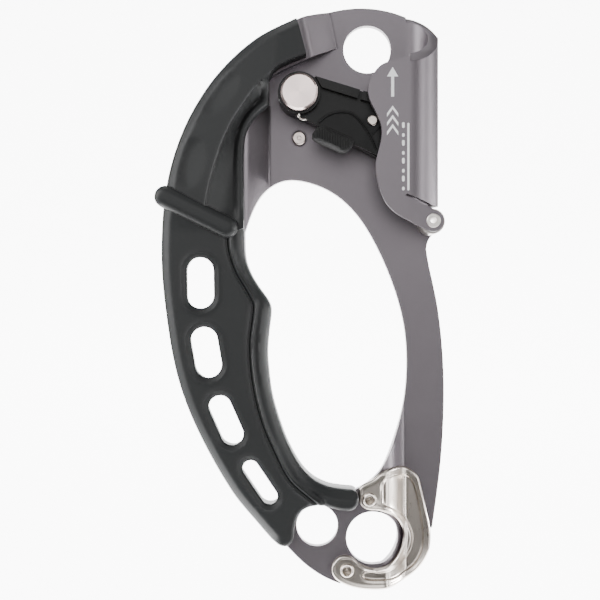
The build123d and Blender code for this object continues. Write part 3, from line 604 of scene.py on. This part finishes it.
def eased(node: str, name: str, width: float, segments: int = 2, bend: float = 0.0) -> bpy.types.Object:
    """Copy a frame node with its sharp edges broken, as a tumbled metal part has them.

    Args:
        node: the node that the copy stands for.
        name: the copy's name.
        width: the edge's width in millimetres.
        segments: steps across the edge.
        bend: how far the folds between two broad faces are rounded, in millimetres.

    Returns:
        The copy, with a live bevel.
    """
    bm = bmesh.new()
    bm.from_mesh(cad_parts[node].data)
    bmesh.ops.remove_doubles(bm, verts=bm.verts[:], dist=2e-6)
    bmesh.ops.dissolve_limit(
        bm, angle_limit=math.radians(0.6), verts=bm.verts[:], edges=bm.edges[:],
        use_dissolve_boundaries=False,
    )
    if bend:
        bm.normal_update()
        ends = [
            edge
            for edge in bm.edges
            if len(edge.link_faces) == 2
            and edge.calc_face_angle(0.0) > math.radians(40)
            and min(vert.co.x for vert in edge.verts) > CHANNEL_END[0] * MM
            and min(vert.co.z for vert in edge.verts) > CHANNEL_END[1] * MM
        ]
        bmesh.ops.bevel(
            bm, geom=ends, offset=CHANNEL_END_ROUND * MM, offset_type="OFFSET", segments=5,
            profile=0.5, affect="EDGES", material=-1, clamp_overlap=True,
        )
        bm.normal_update()
        folds = [
            edge
            for edge in bm.edges
            if len(edge.link_faces) == 2
            and edge.calc_face_angle(0.0) > math.radians(24)
            and min(face.normal.y * edge.link_faces[0].normal.y for face in edge.link_faces) > 0.16
            and edge.calc_length() > 4 * MM
        ]
        LOG.info("%s: %d folds rounded", name, len(folds))
        bmesh.ops.bevel(
            bm, geom=folds, offset=bend * MM, offset_type="OFFSET", segments=6,
            profile=0.5, affect="EDGES", material=-1, clamp_overlap=True,
        )
    piece = finished(bm, name, math.radians(34))
    bevel = piece.modifiers.new("broken edges", "BEVEL")
    bevel.width = width * MM
    bevel.segments = segments
    bevel.limit_method = "ANGLE"
    bevel.angle_limit = math.radians(40)
    bevel.harden_normals = True
    return piece


def turned(
    name: str, centres: Sequence[Point], front: float, profile: Sequence[Point]
) -> bpy.types.Object:
    """Turn a profile about the line through each centre.

    Args:
        name: the object's name.
        centres: where the parts stand, in x and z.
        front: the depth from which the profile's heights are measured towards the front.
        profile: radius and height pairs, from the middle of the front to the middle of the back.

    Returns:
        One object with a solid at every centre.
    """
    bm = bmesh.new()
    for x, z in centres:
        verts = [bm.verts.new(mm(x + radius, front - height, z)) for radius, height in profile]
        edges = [bm.edges.new(pair) for pair in zip(verts[:-1], verts[1:])]
        bmesh.ops.spin(
            bm, geom=verts + edges, cent=mm(x, 0, z), axis=(0, 1, 0), angle=math.tau, steps=40,
            use_merge=True,
        )
    bmesh.ops.remove_doubles(bm, verts=bm.verts[:], dist=1e-6)
    bmesh.ops.recalc_face_normals(bm, faces=bm.faces[:])
    return finished(bm, name, math.radians(50))


def wire(name: str, path: Sequence[Sequence[float]], radius: float) -> bpy.types.Object:
    """Sweep a round wire along a path given in x, y and z."""
    bm = bmesh.new()
    rings = []
    places = [mm(*p) for p in path]
    for index, place in enumerate(places):
        ahead = places[min(index + 1, len(places) - 1)] - places[max(index - 1, 0)]
        turn = ahead.to_track_quat("Z", "Y").to_matrix().to_4x4()
        made = bmesh.ops.create_circle(
            bm, cap_ends=index in (0, len(places) - 1), segments=14, radius=radius * MM,
            matrix=Matrix.Translation(place) @ turn,
        )
        ring = set(made["verts"])
        rings.append([e for e in {e for v in ring for e in v.link_edges} if set(e.verts) <= ring])
    for one, two in zip(rings[:-1], rings[1:]):
        bmesh.ops.bridge_loops(bm, edges=one + two)
    bmesh.ops.recalc_face_normals(bm, faces=bm.faces[:])
    return finished(bm, name, math.radians(50))


def settle(piece: bpy.types.Object, finish: Finishes, body: str, *nodes: str) -> bpy.types.Object:
    """Dress a piece, fix it to its body and let it stand for its frame nodes."""
    finish.dress(piece)
    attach(piece, body)
    if nodes:
        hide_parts(*nodes)
    LOG.info("built %s", piece.name)
    return piece


# ---------------------------------------------------------------- grip
@dataclass
class Grip:
    """The moulded grip: two shells, the soft finger strip and the collar above the fingers."""

    crest: float = 11.2
    low_crest: float = 9.6
    hollow_depth: float = 5.4
    facets: tuple[tuple[float, ...], ...] = (
        (-61.4, 127.9, 5.2, 8.9, 13.0),
        (-51.4, 151.4, 4.4, 8.8, 38.0),
    )
    outer_band: float = 3.0
    slot_round: float = 1.5
    rear_slot_growth: float = 2.4
    collar_round: float = 2.6
    outer: tuple[Point, ...] = (
        (-26.2, 177.8), (-40.2, 170.4), (-52.4, 159.2), (-61.3, 146.3), (-67.3, 132.5),
        (-70.8, 117.5), (-72.1, 99.1), (-71.0, 81.1), (-67.0, 57.2), (-60.5, 39.0), (-48.3, 16.9),
        (-38.2, 4.5), (-34.6, 0.4),
    )
    foot: tuple[Point, ...] = (
        (-34.6, 0.4), (-31.6, -1.4), (-29.3, -1.6), (-27.3, 0.3), (-26.7, 5.4), (-25.3, 9.2),
        (-22.4, 11.4), (-18.9, 12.2),
    )
    ridge: tuple[Point, ...] = (
        (-18.9, 12.2), (-22.8, 15.2), (-28.8, 20.8), (-33.8, 30.3), (-38.2, 40.9), (-41.2, 54.0),
        (-42.1, 67.0), (-40.9, 77.6), (-40.9, 80.2), (-43.2, 84.8), (-46.7, 90.8), (-49.2, 98.3),
        (-49.7, 104.0),
    )
    inner: tuple[Point, ...] = (
        (-44.0, 106.0), (-44.1, 119.4), (-44.2, 130.5), (-43.4, 138.6), (-40.6, 144.0), (-35.5, 148.6),
    )
    slit: tuple[Point, ...] = ((-35.5, 156.8), (-33.4, 160.0), (-28.8, 162.6), (-22.8, 165.0))
    fingers: tuple[Point, ...] = (
        (-43.9, 106.0), (-43.4, 96.0), (-41.5, 90.6), (-39.0, 86.4), (-36.0, 82.2), (-34.8, 79.6),
        (-34.7, 77.0), (-35.5, 70.1), (-35.9, 63.9), (-35.5, 57.7), (-34.4, 49.5), (-32.1, 41.3),
        (-29.0, 33.1), (-24.6, 25.2), (-20.4, 20.9), (-15.4, 18.4), (-10.4, 17.5), (-6.9, 17.2),
    )
    cap: tuple[Point, ...] = (
        (-6.9, 17.2), (-5.4, 16.0), (-5.0, 13.9), (-5.6, 11.8), (-7.6, 10.4), (-10.8, 10.4),
        (-14.7, 11.4), (-18.9, 12.2),
    )
    crease: tuple[Point, ...] = (
        (-32.6, 160.0), (-40.3, 152.8), (-43.6, 148.3), (-47.6, 142.1), (-51.7, 133.1),
        (-55.6, 119.9), (-57.6, 108.0),
    )
    slots: tuple[tuple[float, ...], ...] = (
        (-58.6, 87.5, 17.2, 9.0, 1.0),
        (-56.6, 64.0, 17.2, 9.0, 10.0),
        (-49.9, 41.0, 17.6, 7.6, 24.0),
        (-38.4, 20.0, 16.8, 5.4, 34.0),
    )

    def shell_loop(self) -> list[Point]:
        """Return the outline of the front shell."""
        line = curve_through(self.outer)[:-1] + curve_through(self.foot)[:-1]
        line += curve_through(self.ridge)[:-1]
        line += corners((self.ridge[-1], self.inner[0]))[:-1] + curve_through(self.inner)[:-1]
        line += corners((self.inner[-1], self.slit[0]))[:-1] + curve_through(self.slit)[:-1]
        return line + corners((self.slit[-1], self.outer[0]))[:-1]

    def front_relief(self, points: np.ndarray, edge: np.ndarray, holes: list[np.ndarray]) -> np.ndarray:
        """Shape the front: a crest, a hollow, a roll by the frame and facets for the palm."""
        x, z = points[:, 0], points[:, 1]
        upper = smooth_step((z - 104.0) / 10.0)
        outer = distance_to(points, curve_through(self.outer), False)
        foot = distance_to(points, curve_through(self.foot), False)
        across = -side_of(points, [(-18.0, 169.0), *curve_through(self.crease)])
        border = distance_to(points, curve_through(self.inner) + list(self.slit[:2]), False)
        crest = self.low_crest + (self.crest - self.low_crest) * upper
        height = crest - upper * 0.05 * np.clip(-across, 0, 16) ** 1.15
        reach = np.clip(across, 0, 30)
        share = reach / (reach + np.clip(border - 2.4, 0.05, 30))
        hollow = upper * smooth_step((156.5 - z) / 7.0)
        height -= hollow * self.hollow_depth * (1 - (1 - share) ** 1.7)
        bead = np.sqrt(np.clip(1 - ((border - 1.25) / 1.35) ** 2, 0, 1)) * 1.5
        height += hollow * bead * smooth_step((across - 1.5) / 2.0)
        end_side = side_of(points, ((-31.8, 176.6), (-33.7, 156.7)))
        height -= upper * 0.13 * np.clip(-end_side, 0, 20) * (z > 155.0)
        for cx, cz, half_w, half_h, turn in self.facets:
            lean = math.radians(turn)
            u = (x - cx) * math.cos(lean) - (z - cz) * math.sin(lean)
            v = (x - cx) * math.sin(lean) + (z - cz) * math.cos(lean)
            rim = half_w * np.sqrt(np.clip(1 - (v / half_h) ** 2, 0, 1))
            fade = smooth_step((u + rim + 1.0) / 5.0)
            height -= 0.14 * np.clip(rim - u, 0, 2 * half_w) * (np.abs(v) < half_h) * fade
        height += upper * 0.3 * np.exp(-((across / 0.35) ** 2)) * smooth_step((160.5 - z) / 2.0)
        height -= np.clip(self.outer_band - outer, 0, self.outer_band) * 0.95
        height -= rounding(np.minimum(outer, foot), 1.3)
        for hole in holes:
            height -= rounding(hole, self.slot_round)
            height += 0.32 * np.exp(-(((hole - 1.95) / 0.42) ** 2))
        ridge = distance_to(points, curve_through(self.ridge), False)
        seam = 0.4 * np.exp(-(((ridge - 0.85) / 0.36) ** 2)) - 0.25 * np.exp(-((ridge / 0.4) ** 2))
        height += (1 - upper) * seam
        return -height

    def back_relief(self, points: np.ndarray, edge: np.ndarray, holes: list[np.ndarray]) -> np.ndarray:
        """Shape the back: one soft crown."""
        height = self.low_crest - rounding(edge, 3.6) * (distance_to(points, self.outer, False) < 12)
        for hole in holes:
            height = height - rounding(hole, self.slot_round)
        return height

    def strip_height(self, points: np.ndarray) -> np.ndarray:
        """Return the strip's height: a fine bead, a hollow, then a full round to the fingers."""
        ridge = distance_to(points, curve_through(self.ridge), False)
        edge = distance_to(points, curve_through(self.fingers) + curve_through(self.cap), False)
        fingers = distance_to(points, curve_through(self.fingers), False)
        bead = 0.85 * np.exp(-(((ridge - 0.85) / 0.42) ** 2))
        hollow = -0.7 * np.exp(-(((ridge - 2.3) / 0.9) ** 2))
        fall = np.clip(3.2 - fingers, 0, 3.2) * 0.9 + rounding(edge, 1.5)
        return 9.2 + bead + hollow - fall - 0.25 * np.exp(-((ridge / 0.4) ** 2))

    def strip_loop(self) -> list[Point]:
        """Return the outline of the finger strip."""
        line = curve_through(self.ridge)[:-1] + corners((self.ridge[-1], self.fingers[0]))[:-1]
        return line + curve_through(self.fingers)[:-1] + curve_through(self.cap, 0.6)[:-1]

    def rear_loop(self) -> list[Point]:
        """Return the outline of the rear shell, which keeps clear of the joggles."""
        top = (
            (-29.8, 176.2), (-31.5, 170.0), (-35.5, 163.0), (-48.4, 152.0), (-48.4, 106.0), (-49.7, 104.0),
        )
        outer = [p for p in curve_through(self.outer) if p[0] < -30.5]
        line = outer + curve_through(self.foot)[:-1] + curve_through(self.ridge)[:-1]
        return line + list(reversed(corners(top)))[:-1]

    def collar(self) -> bpy.types.Object:
        """Make the raised rib that wraps the grip above the fingers."""
        bm = bmesh.new()
        loop = stadium(-60.0, 111.4, 30.6, 7.4, 63.5)
        face = bm.faces.new([bm.verts.new((x * MM, -12.4 * MM, z * MM)) for x, z in loop])
        grown = bmesh.ops.extrude_face_region(bm, geom=[face], use_keep_orig=True)
        for item in grown["geom"]:
            if isinstance(item, bmesh.types.BMVert):
                item.co.y = 11.6 * MM
        bmesh.ops.recalc_face_normals(bm, faces=bm.faces[:])
        rims = [e for e in bm.edges if abs(e.verts[0].co.y - e.verts[1].co.y) < 1e-6]
        bmesh.ops.bevel(
            bm, geom=rims, offset=self.collar_round * MM, offset_type="OFFSET", segments=5,
            profile=0.5, affect="EDGES", material=-1,
        )
        for vert in bm.verts:
            if vert.co.x > -0.0478 and vert.co.y > 0:
                vert.co.y *= 0.06
        return finished(bm, "grip_collar", math.radians(50))

    def build(self) -> None:
        """Make and dress the four pieces."""
        holes = [stadium(*slot) for slot in self.slots]
        front = Moulding(
            "grip_front_shell",
            self.shell_loop(),
            self.front_relief,
            0.0,
            holes,
            rings=(0.12, 0.35, 0.7, 1.2, 1.8, 2.5, 3.2),
            guides=[curve_through(self.crease[1:], 0.6)],
            guide_rows=(0.0, 0.18, 0.4, 0.8),
            flare=1.3,
        ).build()
        settle(front, Finishes.GRIP, "frame", "grip_front_shell")
        grown = self.rear_slot_growth
        wide = [stadium(x, z, long + grown, broad + grown, turn) for x, z, long, broad, turn in self.slots]
        rear = Moulding(
            "grip_rear_shell", self.rear_loop(), self.back_relief, 0.0, wide, grid=1.5
        ).build()
        settle(rear, Finishes.GRIP, "frame", "grip_rear_shell")
        strip = Moulding(
            "grip_finger_strip",
            self.strip_loop(),
            lambda points, edge, holes: -self.strip_height(points),
            lambda points, edge, holes: np.minimum(self.strip_height(points), 8.4),
            grid=0.8,
            rings=(0.12, 0.35, 0.6, 0.95, 1.3, 1.8, 2.4, 3.1),
        ).build()
        settle(strip, Finishes.RUBBER, "frame", "grip_finger_strip")
        settle(self.collar(), Finishes.RUBBER, "frame", "grip_collar")


# ---------------------------------------------------------------- wear plate
@dataclass
class WearPlate:
    """The pressed stainless plate round the lower attachment hole, stepped with the sheet below it."""

    flange: float = 1.3
    floor: float = 0.35
    outline: tuple[Point, ...] = (
        (-4.7, 13.4), (-4.4, 17.6), (0.2, 20.3), (4.2, 23.1), (9.1, 24.0), (13.0, 23.0),
        (16.3, 20.2), (17.6, 16.0), (19.2, 9.0), (20.5, 3.0), (20.8, -1.8), (20.0, -6.4),
        (17.0, -11.4), (11.9, -15.6), (6.4, -17.2), (0.4, -17.7), (-6.6, -16.9), (-12.0, -14.6),
        (-14.0, -12.0), (-13.7, -8.6), (-11.0, -6.0), (-7.4, -6.2), (-4.4, -8.6), (0.2, -10.2),
        (5.0, -9.3), (8.6, -6.8), (10.6, -3.0), (11.0, 0.6), (9.6, 4.6), (6.4, 7.8), (2.4, 9.4),
        (-1.6, 9.8), (-3.9, 11.0),
    )
    band: tuple[Point, ...] = (
        (3.3, 19.0), (5.6, 21.0), (10.3, 21.5), (14.0, 19.6), (16.0, 15.0), (17.6, 7.4),
        (18.5, 0.7), (18.0, -5.3), (15.0, -11.0), (9.8, -14.2), (3.4, -14.7), (-2.3, -14.4),
        (-3.9, -12.8), (-2.3, -11.3), (3.2, -11.2), (8.0, -10.2), (11.6, -7.8), (13.6, -4.2),
        (13.9, -0.2), (12.4, 3.6), (9.4, 7.2), (6.0, 9.8), (3.4, 11.4), (3.0, 15.0),
    )
    hole: float = 9.0
    rivets: tuple[Point, ...] = ((-1.1, 13.3), (-8.8, -11.0))
    rivet_profile: tuple[Point, ...] = (
        (0.0, -0.5), (0.35, -0.5), (0.6, -0.75), (0.8, -1.3), (1.2, -1.35), (1.4, -0.9), (1.5, 0.2),
        (1.65, 0.6), (1.95, 0.75), (2.25, 0.6), (2.45, 0.2), (2.5, -0.3), (2.5, -0.8), (1.9, -0.9),
        (1.9, -4.6), (0.0, -4.6),
    )

    @staticmethod
    def step(x: np.ndarray, shift: float = 0.0) -> np.ndarray:
        """Return the sheet's front face: forward on the left, one joggle back on the right."""
        grid = np.linspace(-20.0, 30.0, 1001)
        slope = smooth_step((grid - 2.9 - shift) / 4.4) - smooth_step((grid - 9.2 - shift) / 3.6)
        rise = np.concatenate([[0.0], np.cumsum((slope[1:] + slope[:-1]) / 2)])
        return -1.75 + np.interp(x, grid, rise * 8.75 / rise[-1])

    def relief(self, points: np.ndarray, edge: np.ndarray, holes: list[np.ndarray]) -> np.ndarray:
        """Shape the plate's face: flanges, a sunken band and a rolled lip by the hole."""
        lip = np.hypot(points[:, 0], points[:, 1]) - self.hole
        band_loop = curve_through(self.band, closed=True)
        band = distance_to(points, band_loop, True)
        depth = np.where(inside(points, band_loop), smooth_step(band / 0.75), 0.0)
        swell = 0.2 * np.exp(-(((lip - 2.6) / 1.2) ** 2)) * (points[:, 0] > 1.0)
        rim = 0.3 * np.exp(-(((edge - 0.75) / 0.4) ** 2))
        height = self.flange + rim + swell - (self.flange - self.floor) * depth
        height -= rounding(edge, 0.7)
        height -= np.where(inside(points, band_loop), 0.0, 0.25 * np.exp(-((band / 0.35) ** 2)))
        return self.step(points[:, 0], 0.45) - height

    def build(self) -> None:
        """Make and dress the plate and its rivets."""
        plate = Moulding(
            "wear_plate_pressing",
            curve_through(self.outline, 0.6, closed=True),
            self.relief,
            lambda points, edge, holes: self.step(points[:, 0]) + 0.02,
            holes=[arc(centre, 2.0, 0.0, 360.0)[:-1] for centre in self.rivets],
            grid=0.5,
            rings=(0.12, 0.3, 0.55, 0.85, 1.2),
            guides=[curve_through(self.band + self.band[:1], 0.4)],
            guide_rows=(0.0, 0.2, 0.4, 0.6, 0.8, 1.1),
        ).build()
        settle(plate, Finishes.STAINLESS, "frame", "wear_plate")
        rivets = turned("hollow_rivets", self.rivets, -2.85 - 0.25, self.rivet_profile)
        settle(rivets, Finishes.STAINLESS, "frame", "wear_plate_rivets")


# ---------------------------------------------------------------- metalwork
@dataclass
class Metalwork:
    """The bent sheet, its pins and the roller."""

    def build(self) -> None:
        """Ease and dress the frame's metal pieces."""
        sheet = eased("frame_plate", "bent_sheet_frame", 0.6, 3, 2.4)
        settle(sheet, Finishes.ALUMINIUM, "frame", "frame_plate")
        for node, finish, width in (
            ("cam_pivot_pin", Finishes.PIVOT, 0.32),
            ("stop_pin", Finishes.STOP, 0.12),
            ("roller_axle", Finishes.ROLLER, 0.12),
        ):
            settle(eased(node, f"turned_{node}", width), finish, "frame", node)
        for node, finish in (
            ("cam_pivot_washers", Finishes.STAINLESS),
            ("roller_washers", Finishes.STAINLESS),
            ("grip_screws", Finishes.STAINLESS),
            ("roller", Finishes.ROLLER),
            ("roller_bush", Finishes.BRONZE),
            ("cam_bush", Finishes.BRONZE),
            ("cam_spring", Finishes.SPRING),
            ("trigger_spring", Finishes.SPRING),
        ):
            finish.dress(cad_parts[node])


# ---------------------------------------------------------------- cam and trigger
@dataclass
class Cam:
    """The toothed cam with the trigger that the thumb draws down."""

    pad: Point = (-13.8, 136.0)
    pad_turn: float = -24.0
    pad_half: Point = (6.8, 2.7)
    knurl: float = 0.95
    arch: tuple[Point, ...] = (
        (-18.6, 141.9), (-16.0, 144.0), (-12.4, 145.4), (-8.2, 145.2), (-5.6, 143.6), (-3.3, 140.8),
        (-0.8, 136.8), (1.0, 132.8),
    )
    hook: tuple[tuple[float, ...], ...] = (
        (-26.0, -4.4, 145.4), (-25.8, -5.5, 144.6), (-25.3, -6.0, 143.8), (-24.6, -6.1, 143.3),
        (-23.6, -6.0, 143.1), (-22.7, -5.3, 143.2),
    )

    def pad_loop(self) -> list[Point]:
        """Return the thumb pad's outline: a slanted bar with round corners."""
        lean = math.radians(self.pad_turn)
        loop: list[Point] = []
        radius = 2.2
        spots = ((1, 1, 0), (-1, 1, 90), (-1, -1, 180), (1, -1, 270))
        for side_u, side_v, start in spots:
            u = side_u * (self.pad_half[0] - radius)
            v = side_v * (self.pad_half[1] - radius)
            loop += arc((u, v), radius, start, start + 90, 0.35)
        slanted = [(u + v * 0.25, v) for u, v in loop]
        return [
            (
                self.pad[0] + u * math.cos(lean) - v * math.sin(lean),
                self.pad[1] + u * math.sin(lean) + v * math.cos(lean),
            )
            for u, v in slanted
        ]

    def pad_relief(self, points: np.ndarray, edge: np.ndarray, holes: list[np.ndarray]) -> np.ndarray:
        """Shape the pad's face: a soft edge and slanting ribs."""
        lean = math.radians(self.pad_turn)
        u = (points[:, 0] - self.pad[0]) * math.cos(lean) + (points[:, 1] - self.pad[1]) * math.sin(lean)
        v = -(points[:, 0] - self.pad[0]) * math.sin(lean) + (points[:, 1] - self.pad[1]) * math.cos(lean)
        ribs = 0.5 + 0.5 * np.cos((u + 0.45 * v) * 2 * math.pi / self.knurl)
        return -12.0 + rounding(edge, 1.4) + 0.26 * ribs * smooth_step((edge - 0.3) / 0.6)

    def build(self) -> None:
        """Make and dress the cam, the lever, its pad and its rivet."""
        settle(eased("cam", "toothed_cam", 0.22), Finishes.BLACK_STEEL, "cam", "cam")
        settle(eased("trigger_pin", "trigger_rivet", 0.12), Finishes.TRIGGER_PIN, "cam", "trigger_pin")
        hook = wire("spring_hook", self.hook, 0.32)
        settle(hook, Finishes.SPRING, "cam")
        lever = eased("trigger_lever", "trigger_lever", 0.45, 3)
        settle(lever, Finishes.BLACK_MOULDING, "trigger", "trigger_lever")
        arch = wire("trigger_arch", [(x, -6.3, z) for x, z in curve_through(self.arch, 1.0)], 0.42)
        settle(arch, Finishes.BLACK_MOULDING, "trigger")
        pad = Moulding(
            "trigger_thumb_pad", self.pad_loop(), self.pad_relief, -4.0, grid=0.24,
            rings=(0.1, 0.25, 0.5, 0.8),
        ).build()
        settle(pad, Finishes.THUMB_PAD, "trigger", "trigger_pad")


# ---------------------------------------------------------------- printed marks
@dataclass
class Marks:
    """Plain white signs on the flap: which way is up, and a rope in its channel."""

    face: float = -10.5
    film: float = 0.05
    bite: float = 0.02
    sign_x: float = 6.3
    arrow: tuple[Point, ...] = (
        (-1.9, 157.0), (0.0, 160.2), (1.9, 157.0), (0.5, 157.0), (0.5, 150.2), (-0.5, 150.2), (-0.5, 157.0),
    )
    chevron: tuple[Point, ...] = ((-1.9, 0.0), (0.0, 2.6), (1.9, 0.0), (1.9, 1.2), (0.0, 3.8), (-1.9, 1.2))
    chevron_top: float = 143.4
    chevron_pitch: float = 3.1
    dash_x: float = 9.9
    dash_width: float = 0.9
    dash_pitch: float = 3.0
    dash_lengths: Point = (1.3, 2.0)
    line_x: float = 11.6
    line_width: float = 0.7
    line_ends: Point = (118.6, 141.4)

    def plate(self, bm: bmesh.types.BMesh, loop: Iterable[Point]) -> None:
        """Add one flat shape, a film's thickness proud of the flap."""
        verts = [bm.verts.new((x * MM, (self.face - self.film) * MM, z * MM)) for x, z in loop]
        face = bm.faces.new(verts)
        grown = bmesh.ops.extrude_face_region(bm, geom=[face], use_keep_orig=True)
        for item in grown["geom"]:
            if isinstance(item, bmesh.types.BMVert):
                item.co.y = (self.face + self.bite) * MM

    def bar(self, x: float, low: float, high: float, width: float) -> list[Point]:
        """Return an upright bar with round ends."""
        return stadium(x, (low + high) / 2, high - low, width, 0.0)

    def build(self) -> None:
        """Make the signs as one piece of film."""
        bm = bmesh.new()
        self.plate(bm, [(self.sign_x + x, z) for x, z in self.arrow])
        for index in range(3):
            base = self.chevron_top - self.chevron_pitch * index
            self.plate(bm, [(self.sign_x + x, base + z) for x, z in self.chevron])
        for index in range(8):
            low = self.line_ends[0] + self.dash_pitch * index
            length = self.dash_lengths[index % 2]
            self.plate(bm, self.bar(self.dash_x, low, low + length, self.dash_width))
        self.plate(bm, self.bar(self.line_x, *self.line_ends, self.line_width))
        bmesh.ops.recalc_face_normals(bm, faces=bm.faces[:])
        piece = finished(bm, "printed_marks", math.radians(20))
        settle(piece, Finishes.PAINT, "frame")


# ---------------------------------------------------------------- studio
@dataclass
class Studio:
    """A pale sweep, soft lights and the camera."""

    camera_place: tuple[float, float, float] = (-24.9, -450.0, 81.7)
    lens: float = 78.3

    def backdrop(self) -> None:
        """Make a pale floor that sweeps up behind the object."""
        bm = bmesh.new()
        path = [(-0.10, -0.16), (0.36, -0.16), (0.46, -0.13), (0.52, -0.07), (0.54, 0.02), (0.54, 0.40)]
        verts = [bm.verts.new((-0.36, y, z)) for y, z in path]
        edges = [bm.edges.new(pair) for pair in zip(verts[:-1], verts[1:])]
        grown = bmesh.ops.extrude_edge_only(bm, edges=edges)
        moved = [item for item in grown["geom"] if isinstance(item, bmesh.types.BMVert)]
        bmesh.ops.translate(bm, verts=moved, vec=(0.67, 0.0, 0.0))
        sweep = finished(bm, "pale_sweep", math.radians(60))
        graph = Graph("Pale paper sweep")
        vector, *_ = graph.place()
        grain = graph.noise(vector, 300.0)
        sweep.data.materials.append(
            graph.finish(
                base_color=graph.mix(grain, (0.90, 0.90, 0.90), (0.94, 0.94, 0.94)),
                roughness=0.9,
                emission_color=(1.0, 1.0, 1.0, 1.0),
                emission_strength=7.0,
            )
        )

    def light(
        self, name: str, place: Sequence[float], target: Sequence[float], size: Point, watts: float
    ) -> None:
        """Hang one soft rectangular light."""
        data = bpy.data.lights.new(name, "AREA")
        data.shape = "RECTANGLE"
        data.size, data.size_y = size
        data.energy = watts
        lamp = bpy.data.objects.new(name, data)
        lamp.location = place
        lamp.rotation_euler = (Vector(target) - Vector(place)).to_track_quat("-Z", "Y").to_euler()
        bpy.context.scene.collection.objects.link(lamp)

    def build(self) -> None:
        """Set the sweep, the lights, the surround and the camera."""
        self.backdrop()
        middle = (-0.025, 0.0, 0.082)
        self.light("left soft box", (-0.70, -0.42, 0.45), middle, (0.5, 0.7), 9.0)
        self.light("right strip", (0.60, -0.44, 0.12), middle, (0.16, 0.8), 4.0)
        self.light("front fill", (-0.15, -1.3, 0.40), middle, (0.9, 0.8), 7.0)
        self.light("top soft box", (-0.1, 0.0, 0.8), middle, (0.8, 0.3), 2.2)
        self.light("low side light", (0.62, 0.24, 0.03), (0.008, 0.0, 0.02), (0.16, 0.14), 5.0)
        self.light("left side light", (-0.72, 0.02, 0.14), middle, (0.25, 0.7), 5.0)
        self.light("right side light", (0.68, -0.02, 0.12), middle, (0.2, 0.7), 3.2)
        world = bpy.data.worlds.new("pale surround")
        world.use_nodes = True
        world.node_tree.nodes["Background"].inputs[0].default_value = (1.0, 1.0, 1.0, 1.0)
        world.node_tree.nodes["Background"].inputs[1].default_value = 0.11
        bpy.context.scene.world = world
        data = bpy.data.cameras.new("camera")
        data.lens = self.lens
        data.sensor_width = 36.0
        camera = bpy.data.objects.new("camera", data)
        camera.location = mm(*self.camera_place)
        camera.rotation_euler = (math.pi / 2, 0.0, 0.0)
        bpy.context.scene.collection.objects.link(camera)
        bpy.context.scene.camera = camera


def main() -> None:
    """Build the ascender's looks in order."""
    logging.basicConfig(level=logging.INFO, format="%(message)s")
    random.seed(7)
    Metalwork().build()
    WearPlate().build()
    Grip().build()
    Cam().build()
    Marks().build()
    Studio().build()


if __name__ == "__main__":
    main()
